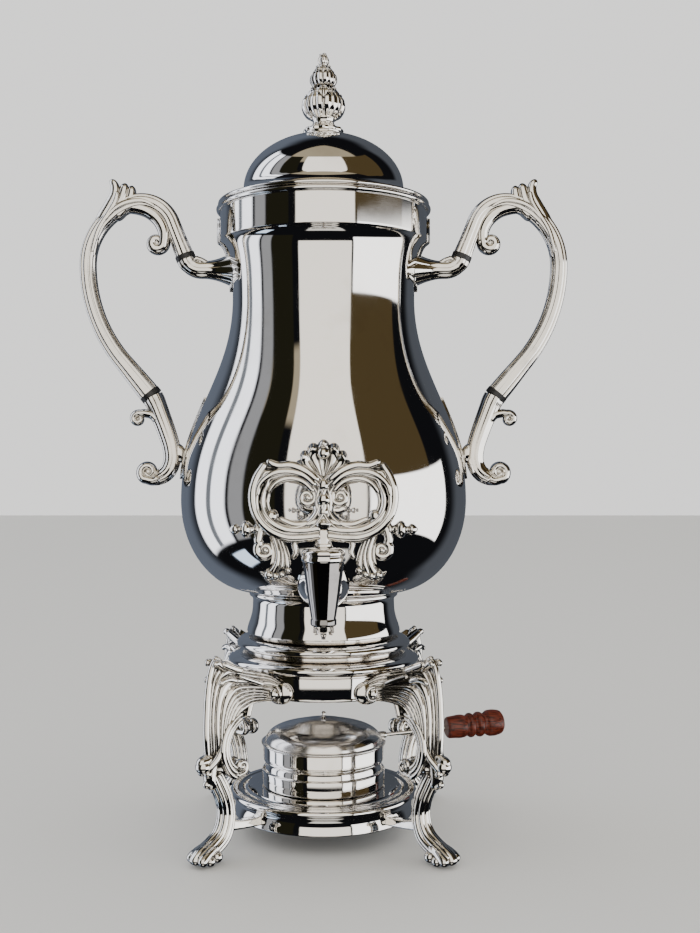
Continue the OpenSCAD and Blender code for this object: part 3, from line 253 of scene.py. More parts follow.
def loft(path: Array, size: Array | float, section: Array, across: Array = SIDEWAYS,
         rounded: bool = True) -> Sheet:
    """Section carried along a path: path + size (out * O + side * A) at every point.

    A is the across vector made square to the path, and O is the path's direction x A.

    Args:
        path: Points of the path.
        size: Factor on the section at each point.
        section: Points (out, side), or one such array for each point of the path.
        across: Vector that the section's sides point along.
        rounded: True to round the ends off like half balls.
    Returns:
        The lofted solid.
    """
    along = unit(np.gradient(path, axis=0))
    side = unit(across - np.sum(across * along, axis=-1, keepdims=True) * along)
    out = np.cross(along, side)
    size = np.broadcast_to(np.asarray(size, float), (len(path),)).copy()
    section = np.broadcast_to(section, (len(path), *section.shape[-2:]))
    if rounded:
        d = travelled(path)
        for far in (d, d[-1] - d):
            near = np.clip(far / np.maximum(size, 1e-6), 0, 1)
            size *= np.sqrt(np.clip(1 - (1 - near) ** 2, 0.0004, 1))
    return Sheet(path[:, None, :] + size[:, None, None] * (
        section[..., 0:1] * out[:, None, :] + section[..., 1:2] * side[:, None, :]))


def oval(m: int, side: float, out: float = 1.0) -> Array:
    """Elliptical section: (out cos a, side sin a)."""
    return arc(0, 0, 1, 0, 360 - 360 / m, m) * [out, side]


def fluted_round(m: int, lobes: float, depth: float, square: float = 1.0) -> Array:
    """Round or squarish section with round flutes: radius 1 - depth (1 - |cos(n a)| ^ 0.6).

    Args:
        m: Number of points.
        lobes: Half the number of flutes.
        depth: Depth of the grooves.
        square: 1 for a circle, less for a squarer outline.
    Returns:
        Section points (out, side).
    """
    a = steps_round(m)
    ring = np.stack([np.cos(a), np.sin(a)], axis=1)
    r = 1 - depth * (1 - ridges(lobes * a))
    return r[:, None] * np.sign(ring) * np.abs(ring) ** square


def ribbed(m: int, out: float, side: float, back: float, ribs: int, depth: float) -> Array:
    """Strap section: a domed front with round ribs and a flat back.

    The front is out |sin a| ^ 0.7 less depth times a cosine of the place across it.

    Args:
        m: Number of points.
        out: Rise of the front.
        side: Half width.
        back: Depth of the back.
        ribs: Number of ribs.
        depth: Depth of the grooves as a part of the rise.
    Returns:
        Section points (out, side).
    """
    a = steps_round(m)
    w, s = np.cos(a), np.sin(a)
    groove = depth * (0.5 + 0.5 * np.cos(math.pi * ribs * (w + 1))) * np.abs(s) ** 0.5
    height = np.where(s >= 0, out * (np.abs(s) ** 0.7 - groove), -back * np.abs(s) ** 0.5)
    return np.stack([height, side * w], axis=1)


def rib(points: Array | Points, start: float, middle: float, stop: float, n: int = 40,
        section: Array | None = None, across: Array = SIDEWAYS) -> Sheet:
    """Tapered cast rib through points, its size a quadratic from start over middle to stop.

    Args:
        points: Points that the rib passes through.
        start: Size at its start.
        middle: Size halfway.
        stop: Size at its end.
        n: Number of points along it.
        section: Section for a size of 1, or none for a round one.
        across: Vector that the section's sides point along.
    Returns:
        The rib, its ends rounded.
    """
    path = even(spline(points, 6 * n), n, 0.8)
    t = np.linspace(0, 1, n)
    size = (2 * t * t - 3 * t + 1) * start + 4 * (t - t * t) * middle + (2 * t * t - t) * stop
    return loft(path, size, oval(16, 1.0) if section is None else section, across)


def ball(x: float, y: float, z: float, r: float, squash: float = 1.0) -> Sheet:
    """Ball about a point, its height times squash."""
    return lathe(arc(0, 0, r, -88, 88, 17) * [1, squash], 28).moved(x, y, z)


def patch(net: Sequence[Points], rows: int, cols: int) -> Array:
    """Smooth surface through a net of points, by one spline each way.

    Args:
        net: Lines of points along the surface, side by side.
        rows: Number of points along it.
        cols: Number of points across it.
    Returns:
        Array of rows x cols points.
    """
    points = np.asarray(net, float)
    across = spline(np.eye(points.shape[0]), cols)
    along = spline(np.eye(points.shape[1]), rows)
    return np.einsum("ai,bj,jik->abk", along, across, points)


def fluted(net: Sequence[Points], flutes: float, depth: float, thick: tuple[float, float],
           toward: Sequence[float], drift: float, rows: int = 110, cols: int = 90) -> Sheet:
    """Leaf over a net of points, with round flutes that run along it.

    The front stands off the net by |cos(pi (n u + sway))| ^ 0.6, n being the number of flutes
    and u the place across them, warped so that no two flutes are equally wide. The back follows
    at a depth that goes from thick[0] to thick[1].

    Args:
        net: Lines of points along the leaf, side by side.
        flutes: Number of flutes.
        depth: Depth of the flutes.
        thick: Thickness at the leaf's start and beyond its first third.
        toward: Direction that the front faces.
        drift: How far the flutes wander across the leaf.
        rows: Number of points along the leaf.
        cols: Number of points across it.
    Returns:
        The closed leaf.
    """
    base = patch(net, rows, cols)
    along, across = np.gradient(base, axis=0), np.gradient(base, axis=1)
    normal = unit(np.cross(across, along))
    normal *= np.sign(np.sum(normal * np.asarray(toward, float), axis=-1, keepdims=True))
    u = np.linspace(0, 1, cols)[None, :, None]
    u = u + 0.045 * np.sin(7.4 * u + 0.6)
    v = np.linspace(0, 1, rows)[:, None, None]
    sway = drift * np.sin(9 * v + 5 * u)
    ridge = ridges(math.pi * (flutes * u + sway)) * (0.86 + 0.14 * np.sin(11 * u + 3))
    rise = depth * (0.35 + 0.65 * np.sin(math.pi * np.clip(v, 0.04, 0.97)) ** 0.5)
    front = base + normal * rise * (ridge - 0.55)
    behind = thick[1] + (thick[0] - thick[1]) * np.clip(1 - 3.2 * v, 0, 1)
    return Sheet(np.concatenate([front, (base - normal * behind)[:, ::-6]], axis=1))


# ------------------------------------------------------------------ shading
def linear(colour: str, level: float = 1.0) -> tuple[float, float, float, float]:
    """Linear RGBA of an sRGB hex colour by the sRGB transfer curve, times a level.

    Args:
        colour: Hex colour such as #FFFFFF.
        level: Factor on its brightness.
    Returns:
        Red, green, blue and an alpha of 1.
    """
    parts = [int(colour[i:i + 2], 16) / 255 for i in (1, 3, 5)]
    r, g, b = (level * (c / 12.92 if c <= 0.04045 else ((c + 0.055) / 1.055) ** 2.4) for c in parts)
    return r, g, b, 1.0


def empty_tree(owner: bpy.types.Material | bpy.types.World) -> bpy.types.NodeTree:
    """The node tree of a material or world, without its first nodes.

    Args:
        owner: The material or world.
    Returns:
        Its node tree.
    """
    owner.use_nodes = True
    owner.node_tree.nodes.clear()
    return owner.node_tree


def add(tree: bpy.types.NodeTree, kind: str, inputs: dict[str, Any] | Sequence[Any] = (),
        **settings: Any) -> bpy.types.Node:
    """Adds one shader node.

    Args:
        tree: Node tree.
        kind: Node type without "ShaderNode".
        inputs: Values, sockets or nodes, by input name or in the order of the inputs in use.
        settings: Attributes of the node.
    Returns:
        The node.
    """
    made = tree.nodes.new("ShaderNode" + kind)
    for key, value in settings.items():
        setattr(made, key, value)
    if isinstance(inputs, dict):
        pairs = [(made.inputs[name], value) for name, value in inputs.items()]
    else:
        pairs = list(zip([socket for socket in made.inputs if socket.enabled], inputs))
    for socket, value in pairs:
        if isinstance(value, bpy.types.Node):
            value = next(output for output in value.outputs if output.enabled)
        if isinstance(value, bpy.types.NodeSocket):
            tree.links.new(value, socket)
        else:
            socket.default_value = value
    return made


COLOURS = {"data_type": "RGBA"}
SMOOTH = {"interpolation_type": "SMOOTHSTEP"}
# levels of a noise where duller patches, worn colour and dark grain begin and are at their full
DULL, WORN, DARK_GRAIN = (0.35, 0.7), (0.5, 0.8), (0.4, 0.62)
# openness of a hollow at its darkest and where the darkening ends
HOLLOW = (0.25, 0.85)
# share of the second colour in worn patches, and roughness added in the darkest hollow
WORN_SHARE, HOLLOW_ROUGH = 0.25, 0.25


class Grain(Enum):
    """Direction in which a finish's marks run, as a stretch along each axis."""

    NONE = (1, 1, 1)
    TURNED = (1, 1, 9)
    ALONG_X = (0.12, 1, 1)


@dataclass(frozen=True)
class Finish:
    """A finish: its colours, its polish and its wear.

    Attributes:
        name: Material name, after what it is made of and how.
        slot: Slot of the record.
        colour: Clean colour.
        second: Colour of the recesses, grooves or dark grain.
        rough: Lowest and highest roughness.
        metallic: 1 for metal.
        ior: Refractive index of a non-metal.
        recess: Strength of the darkening in recesses.
        reach: How far a recess reaches, mm.
        patch: Size of the patches of wear, mm.
        ripple: Depth of the surface's unevenness, mm.
        ripple_size: Size of the unevenness, mm.
        mark: Width of the fine marks, mm; real polish lines are finer and are drawn this coarse to show.
        mark_depth: Depth of the fine marks, mm.
        grain: Direction of the marks.
    """

    name: str
    slot: str
    colour: str
    second: str
    rough: tuple[float, float]
    metallic: float = 1.0
    ior: float = 1.5
    recess: float = 0.0
    reach: float = 2.0
    patch: float = 30.0
    ripple: float = 0.0
    ripple_size: float = 30.0
    mark: float = 0.3
    mark_depth: float = 0.0
    grain: Grain = Grain.NONE

    def material(self) -> bpy.types.Material:
        """The finish as a material; built once and then reused.

        Returns:
            The material.
        """
        known = bpy.data.materials.get(self.name)
        if known:
            return known
        made = bpy.data.materials.new(self.name)
        made.diffuse_color = clean = linear(self.colour)
        dark = linear(self.second)
        tree = empty_tree(made)
        place = add(tree, "TexCoord").outputs["Object"]
        mm = add(tree, "VectorMath", (place, 1 / MM), operation="SCALE")
        patches = add(tree, "TexNoise", {"Vector": mm, "Scale": 1 / self.patch, "Detail": 5.0,
                                         "Roughness": 0.6})
        streaks = add(tree, "VectorMath", (mm, self.grain.value), operation="MULTIPLY")
        marks = add(tree, "TexNoise", {"Vector": streaks, "Scale": 1 / self.mark, "Detail": 3.0})
        # old polish and handling leave soft patches that reflect a little less sharply
        rough = add(tree, "MapRange", (patches, *DULL, *self.rough), **SMOOTH)
        worn = add(tree, "MapRange", (patches, *WORN, 0.0, WORN_SHARE), **SMOOTH)
        colour = add(tree, "Mix", (worn, clean, dark), **COLOURS)
        if self.metallic < 1:
            grain = add(tree, "MapRange", (marks, *DARK_GRAIN), **SMOOTH)
            colour = add(tree, "Mix", (grain, colour, dark), **COLOURS)
        if self.recess > 0:
            # polish never reaches the bottom of the chasing, which keeps its dark tarnish
            hollow = add(tree, "AmbientOcclusion", {"Distance": self.reach * MM}, samples=6,
                         only_local=True)
            deep = add(tree, "MapRange", (hollow.outputs["AO"], *HOLLOW, self.recess, 0.0), **SMOOTH)
            colour = add(tree, "Mix", (deep, colour, dark), **COLOURS)
            duller = add(tree, "Math", (deep, HOLLOW_ROUGH), operation="MULTIPLY")
            rough = add(tree, "Math", (rough, duller), operation="ADD")
        inputs = {"Base Color": colour, "Roughness": rough, "Metallic": self.metallic}
        if self.metallic < 1:
            inputs["IOR"] = self.ior
        if self.ripple > 0:
            # raised by hand or cast, so the reflections wander a little
            waves = add(tree, "TexNoise", {"Vector": mm, "Scale": 1 / self.ripple_size, "Detail": 1.0})
            inputs["Normal"] = add(tree, "Bump", {"Height": waves, "Strength": 1.0,
                                                  "Distance": self.ripple * MM})
        if self.mark_depth > 0:
            under = {"Normal": inputs["Normal"]} if "Normal" in inputs else {}
            inputs["Normal"] = add(tree, "Bump", {"Height": marks, "Strength": 1.0,
                                                  "Distance": self.mark_depth * MM} | under)
        add(tree, "OutputMaterial", {"Surface": add(tree, "BsdfPrincipled", inputs)})
        return made


# bright, nearly mirror-like sheet: reads as bands of the room with soft edges
PLATE = Finish("silver_plate_spun_and_polished", "silver_plate", "#F1EEEA", "#B9B0A2", (0.025, 0.075),
               ripple=0.045, ripple_size=34, mark=0.25, mark_depth=0.0002, recess=0.35, reach=3.0)
# castings are buffed on their high places only: bright ridges and brown-black hollows
CAST = Finish("silver_plated_casting_buffed", "cast_silver", "#EDE9E2", "#1C1510", (0.05, 0.12),
              recess=0.95, reach=4.2, patch=9, ripple=0.03, ripple_size=4.5, mark=0.4,
              mark_depth=0.001)
# handles are gripped and wiped, which keeps their castings brighter
CAST_LIGHT = Finish("silver_plated_casting_worn_bright", "cast_silver", "#EFEBE4", "#2B2118",
                    (0.045, 0.11), recess=0.55, reach=2.4, patch=12, ripple=0.03, ripple_size=8,
                    mark=0.4, mark_depth=0.0008)
# the snuffer cover sits over the flame, whose heat and soot leave its plate with a soft satin
PLATE_SATIN = Finish("silver_plate_dulled_by_heat", "silver_plate", "#F1EEEA", "#B9B0A2", (0.15, 0.24),
                     patch=14, ripple=0.03, ripple_size=20, mark=0.25, mark_depth=0.0004, recess=0.35,
                     reach=3.0)
# the tap's cone: deeply polished silver plate whose colour is painted dark grey, a painted reflection of the
# dark table and the front of the room that its downward-tapering face mirrors
PLATE_PAINTED_DARK = Finish("silver_plate_polished_painted_dark", "dark_silver", "#8D8A88", "#2A2624", (0.03, 0.08),
              patch=12, ripple=0.01, ripple_size=12)
# turned steel keeps fine rings across its axis and looks grey and dull beside the plate
STEEL = Finish("steel_turned", "steel", "#9B9A98", "#4E4A46", (0.22, 0.38), patch=6, mark=0.12,
               mark_depth=0.003, grain=Grain.TURNED, recess=0.5)
# pressed fibre is nearly black, with the faint sheen of handling
FIBRE = Finish("vulcanised_fibre_black", "black_washer", "#0B0B0D", "#1B1A1C", (0.38, 0.55),
               metallic=0.0, ior=1.55, patch=5, mark=0.2, mark_depth=0.01)
# ground brass is yellow, with rings from the lapping of the plug
BRASS = Finish("brass_ground", "brass", "#C8A25A", "#6E5124", (0.18, 0.3), patch=8, mark=0.1,
               mark_depth=0.003, grain=Grain.TURNED)
# red-brown stain darkens beech's grain, which runs along the grip, under a soft coat of wax
WOOD = Finish("beech_turned_stained_and_waxed", "wood", "#6E2C19", "#38140B", (0.28, 0.45),
              metallic=0.0, ior=1.46, recess=0.6, reach=1.6, patch=7, mark=0.8, mark_depth=0.04,
              grain=Grain.ALONG_X)
# woven cotton is pale, matt and a little soiled by the spirit
COTTON = Finish("cotton_woven_wick", "wick", "#D9CFB8", "#8B7E66", (0.85, 0.95), metallic=0.0,
                ior=1.5, patch=3, mark=0.6, mark_depth=0.15)
FRAME_FINISHES = (PLATE, CAST, PLATE_PAINTED_DARK, STEEL, FIBRE, BRASS, WOOD, COTTON)


class Body(Enum):
    """CAD body that a piece moves with."""

    URN = "urn"
    LID = "lid"
    KEY = "key"
    BURNER = "burner"
    SNUFFER = "snuffer"


def show(name: str, sheets: Sequence[Sheet], finish: Finish, body: Body, stands_for: str,
         sharp: float = 38.0) -> None:
    """Writes sheets as one mesh object and ties it to its body.

    Args:
        name: Name of the piece.
        sheets: Closed surfaces in millimetres.
        finish: What it is made of.
        body: CAD body that it moves with.
        stands_for: CAD node that it shows in place of.
        sharp: Angle above which an edge stays sharp, degrees.
    """
    verts, quads, tris = zip(*(sheet.polygons() for sheet in sheets))
    starts = np.cumsum([0] + [len(v) for v in verts])
    quads, tris = (np.concatenate([f + s for f, s in zip(faces, starts)]) for faces in (quads, tris))
    verts = np.concatenate(verts) * MM
    loops = np.concatenate([quads.ravel(), tris.ravel()])
    begins = np.concatenate([np.arange(len(quads)) * 4, quads.size + np.arange(len(tris)) * 3])
    mesh = bpy.data.meshes.new(name)
    mesh.vertices.add(len(verts))
    mesh.vertices.foreach_set("co", verts.ravel())
    mesh.loops.add(len(loops))
    mesh.loops.foreach_set("vertex_index", loops.astype(np.int32))
    mesh.polygons.add(len(begins))
    mesh.polygons.foreach_set("loop_start", begins.astype(np.int32))
    mesh.update(calc_edges=True)
    mesh.validate()
    mesh.shade_smooth()
    mesh.set_sharp_from_angle(angle=math.radians(sharp))
    mesh.materials.append(finish.material())
    made = bpy.data.objects.new(name, mesh)
    bpy.context.scene.collection.objects.link(made)
    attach(made, body.value)
    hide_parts(stands_for)
    log.info("%s: %d faces on %s", name, len(begins), body.value)


def levels(node: str) -> tuple[float, float]:
    """Lowest and highest level of a CAD node, in millimetres."""
    low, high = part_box(node)
    return low[2] / MM, high[2] / MM


# levels shared by the pieces
BAND_LOW, RING_TOP = levels("stand_ring")
BODY_LOW, MOUTH = levels("body_shell")
LID_LOW = levels("lid_shell")[0]


def round_trip(low: float, high: float, n: int) -> tuple[Array, Array]:
    """Places over a front of n points and back behind it, and which of them are in front."""
    places = np.concatenate([np.linspace(low, high, n), np.linspace(high, low, 8)[1:-1]])
    return places, np.arange(len(places)) < n


def curl(lead: Points, n: int, *whorl: float) -> Array:
    """Line that follows a lead with n points and then winds up in a spiral."""
    return chain(spline(lead, n)[:-1], spiral(*whorl))


# ------------------------------------------------------------------ body and lid
@dataclass
class UrnBody:
    """The raised body with its bead."""

    belly_r: float = 82.4
    belly_rise: float = 52.3
    belly_full: float = 49.8
    bottom_r: float = 41.4
    neck_r: float = 52.7
    neck_rise: float = 169.0
    neck_full: float = 47.0
    collar_r: float = 60.0
    collar_h: float = 18.0
    wall: float = 1.5
    bead_r: float = 1.5

    def line(self, d: float = 0.0) -> Array:
        """Outer line moved out by d: a quarter ellipse, the shoulder's Bezier and the collar.

        Args:
            d: Distance outwards, below 0 for the inner face.
        Returns:
            Points (radius, height) from the bottom's edge to the mouth.
        """
        belly, neck = BODY_LOW + self.belly_rise, BODY_LOW + self.neck_rise
        collar = MOUTH - self.collar_h
        wide, narrow, top = self.belly_r + d, self.neck_r + d, self.collar_r + d
        bowl = arc(0, 0, 1, -90, 0, 44) * [wide - self.bottom_r, self.belly_rise + d]
        shoulder = bezier([(wide, belly), (wide, belly + self.belly_full),
                           (narrow, neck - self.neck_full), (narrow, neck)], 60)
        cove = bezier([(narrow, neck), (narrow, collar - 12), (narrow + 2, collar - 2), (top, collar)], 26)
        return chain(bowl + [self.bottom_r, belly], shoulder[1:], cove[1:-1],
                     arc(top - 0.5, collar + 0.6, 0.5, -60, 0, 5),
                     (top, collar + 1.4), (top, MOUTH - 1), (top, MOUTH))

    def radius(self, z: Array) -> Array:
        """Radius of the outer surface at a height."""
        r, height = self.line().T
        return np.interp(z, height, r)

    def build(self) -> None:
        """Makes the shell with its mirror-like face and the bead on the mouth."""
        edge, floor = self.bottom_r - 2, BODY_LOW + self.wall
        shell = chain((0.5, BODY_LOW), (20, BODY_LOW), (edge, BODY_LOW), self.line(),
                      self.line(-self.wall)[::-1], (edge, floor), (0.5, floor))
        show("urn_body", [lathe(shell)], PLATE, Body.URN, "body_shell")
        r, inner = self.bead_r, self.collar_r - self.wall
        bead = arc(self.collar_r + r / 2, MOUTH + r / 2, r, -150, 62, 22)
        bead = chain(bead, (inner, bead[-1, 1]), (inner, MOUTH))
        show("mouth_bead", [lathe(bead, loop=True)], PLATE, Body.URN, "rim_bead")


@dataclass
class Lid:
    """The domed lid, its bezel and its cast finial."""

    sheet: float = 1.2
    dome_r: float = 46.5
    dome_h: float = 32.0
    flange_h: float = 8.0
    edge_r: float = 61.25
    hole_r: float = 2.05
    bezel_r: float = 57.9
    bezel_h: float = 11.0

    def __post_init__(self) -> None:
        """Derives the levels of the flange and the dome."""
        self.flange = LID_LOW + 2 * self.sheet
        self.dome = self.flange + self.flange_h
        self.top = self.dome + self.dome_h

    def line(self, d: float = 0.0) -> Array:
        """Outer line of the lid from its rolled edge to the finial's seat, moved by d.

        Args:
            d: Distance outwards, below 0 for the inner face.
        Returns:
            Points (radius, height).
        """
        t, r = self.sheet, self.dome_r
        flange = bezier([(self.edge_r - 4, self.flange + d / 2), (r + 6, self.flange + 0.5 + d),
                         (r + 1 + d, self.flange + self.flange_h / 2), (r + d, self.dome)], 30)
        dome = arc(0, 0, 1, 1.5, 87.3, 56) * [r + d, self.dome_h + d] + [0, self.dome]
        return chain(arc(self.edge_r - t, LID_LOW + t, t + d, -90, 90, 14), flange, dome)

    def build(self) -> None:
        """Makes the shell, the bezel and the finial."""
        t, r, low = self.sheet, self.bezel_r, MOUTH - self.bezel_h
        inner = self.line(-t)
        inner = inner[inner[:, 1] > self.flange - t + 0.01][::-1]
        shell = chain(self.line(), (self.hole_r, self.top), (self.hole_r, self.top - t), inner,
                      (self.dome_r + 4, LID_LOW))
        show("lid_dome", [lathe(shell, loop=True)], PLATE, Body.LID, "lid_shell")
        ring = [(r - 0.6, low), (r, low + 0.6), (r, LID_LOW), (r - t, LID_LOW), (r - t, low)]
        show("lid_inner_ring", [lathe(ring, loop=True)], PLATE, Body.LID, "lid_bezel")
        show("lid_finial", self.finial(), CAST_LIGHT, Body.LID, "finial", sharp=55)

    def finial(self) -> list[Sheet]:
        """Scalloped foot, flared stem and five whorls of round leaves that close like a bulb.

        Returns:
            Its castings, in place.
        """
        stem = spline([(9.2, 3.8), (7.4, 5.0), (6.2, 7), (7.0, 9.4), (9.4, 12.5), (9.8, 16), (8.6, 20),
                       (5.6, 24.4), (4.6, 27), (5.6, 30), (6.0, 33.5), (4.6, 37), (2.4, 39.6),
                       (2.8, 42.6), (2.9, 44.6), (0.4, 47.2)], 80)
        core = chain((0.4, 0), (9.8, 0), (10.4, 0.6), (10.4, 3.0), (9.2, 3.8), stem)
        scallop = [(9.6, 0.9), (11.1, 1.3), (11.4, 2.3), (11.0, 3.3), (9.6, 3.8)]
        stud = [(0.4, -8), (1.7, -8), (2, -7.6), (2, 0.5), (0.4, 0.5)]
        made = [lathe(core, 96), lathe(scallop, 180, lambda a: 1 + 0.035 * np.cos(12 * a), loop=True),
                lathe(stud, 32)]
        # number of leaves, first angle, level, radius, height and half width of each whorl
        for count, start, low, out, tall, wide in (
                (6, 0, 8.6, 10.1, 14.4, 5.6), (6, 30, 15.4, 7.6, 11.0, 4.2), (5, 15, 25.8, 5.6, 11.4, 4.2),
                (5, 51, 31.8, 3.9, 8.0, 2.8), (3, 50, 38.2, 1.7, 8.9, 2.2)):
            leaf = self.leaf(low, out, tall, wide)
            made += [leaf.turned(start + k * 360 / count) for k in range(count)]
        return [sheet.moved(0, 0, self.top) for sheet in made]

    @staticmethod
    def leaf(low: float, out: float, tall: float, wide: float) -> Sheet:
        """One round fluted leaf whose tip rolls outward.

        Args:
            low: Height of its root over the finial's seat.
            out: Distance of its back from the axis.
            tall: Height of the leaf.
            wide: Greatest half width.
        Returns:
            The leaf, towards +X.
        """
        line = spline([(out + x, low + z * tall) for x, z in (
            (-4.4, 0), (-1.2, 0.2), (0.7, 0.45), (0.6, 0.7), (-0.3, 0.88), (-0.2, 1), (0.9, 0.98))], 90)
        swell = wide * np.interp(np.linspace(0, 1, 36), [0, 0.25, 0.5, 0.72, 0.88, 1],
                                 [0.5, 0.86, 1.0, 0.92, 0.62, 0.3])
        return loft(even(in_plane(line), 36), swell, ribbed(42, 0.34, 1.0, 0.3, 3, 0.42), -SIDEWAYS)


# ------------------------------------------------------------------ pedestal, ring, tray, burner
class Corner(Enum):
    """Place of a leg, by its angle round the urn in degrees."""

    FRONT_LEFT = -135.0
    FRONT_RIGHT = -45.0
    REAR_LEFT = 135.0
    REAR_RIGHT = 45.0


@dataclass
class Stand:
    """The pedestal, the ring, the tray and the four cast legs."""

    ring_r: float = 52.0
    ring_t: float = 1.6
    drum_r: float = 44.4
    neck_r: float = 41.0
    opening_r: float = 30.0
    sheet: float = 1.5
    tray_r: float = 54.0
    skirt_r: float = 51.0

    def build(self) -> None:
        """Makes every piece of the stand."""
        self.pedestal()
        self.band()
        self.tray()
        for corner in Corner:
            Leg().build(corner)

    def pedestal(self) -> None:
        """Makes the drum with its two mouldings and the bead under the body."""
        r, drum, neck, t = self.ring_r, self.drum_r, self.neck_r, self.sheet
        low, up, groove = RING_TOP + 5.4, RING_TOP + 14, drum - 5
        outer = chain(
            (r - 5, RING_TOP), (r - 0.4, RING_TOP),
            bezier([(r, RING_TOP + 0.8), (r + 4.8, RING_TOP + 3), (r + 4.4, low + 1.6),
                    (groove + 7, low + 3)], 26),
            (groove + 5, low + 3.3), (groove + 5, low + 4.2),
            bezier([(groove + 6, low + 4.5), (groove + 13, up - 3), (groove + 12.6, up + 2),
                    (groove + 3, up + 3.4)], 28),
            (groove, up + 3.8), (groove, up + 4.8), (drum - 0.3, up + 5.4),
            bezier([(drum, up + 5.8), (drum - 1, up + 12), (neck, BODY_LOW - 16), (neck, BODY_LOW - 6)], 30),
            (neck, BODY_LOW - 4.6), arc(neck + 0.5, BODY_LOW - 1.9, 1.5, -80, 80),
            (neck - 8, BODY_LOW - 0.05), (self.opening_r, BODY_LOW - 0.05), (self.opening_r, BODY_LOW - t))
        inner = [(neck - 1.6, BODY_LOW - 1.6), (neck - 1.6, BODY_LOW - 16), (drum - 2.6, up + 12),
                 (groove - 1.4, up + 8), (groove - t, up + 2), (groove + 3.5, low + 4.6),
                 (groove + 3.5, low + 1.6), (r - 5, RING_TOP + t)]
        show("stand_pedestal", [lathe(chain(outer, inner), loop=True)], PLATE, Body.URN, "pedestal")

    def band(self) -> None:
        """Makes the ring's band with the roll at its lower edge."""
        r, t, top = self.ring_r, self.ring_t, RING_TOP - 0.02
        band = chain((r - 6, RING_TOP - t), (r - 6, top), (r - 0.3, top), (r, RING_TOP - 0.4),
                     (r, BAND_LOW + 2), arc(r - 0.8, BAND_LOW + 0.9, 0.9, 40, -180, 18),
                     (r - t, BAND_LOW + 2), (r - t, RING_TOP - t))
        show("stand_band", [lathe(band, loop=True)], PLATE, Body.URN, "stand_ring")

    def tray(self) -> None:
        """Makes the shallow burner tray with its rolled edge and its skirt."""
        low, top = levels("tray")
        r, s, t = self.tray_r, self.skirt_r, self.sheet
        profile = chain(
            (0.5, top), (12, top), (28, top), (r - 11, top),
            bezier([(r - 10, top), (r - 8, top - 2.4), (r - 5, top - 0.4), (r - 3.4, top - 1.2)], 16),
            arc(r - 1.8, top - 3, 1.8, 100, -80, 20),
            bezier([(r - 1.6, top - 5.4), (r - 2.2, top - 6.6), (s + 0.6, top - 6), (s, top - 8)], 14),
            (s, low + 2.4), arc(s - 0.2, low + 0.9, 0.9, 0, -180), (s - t, low + 2), (s - t, top - 7.4),
            (r - 4.2, top - 5.6), (r - 4.2, top - 3.4), (r - 9, top - 3), (r - 11, top - t), (0.5, top - t))
        show("burner_tray", [lathe(profile)], PLATE, Body.URN, "tray")


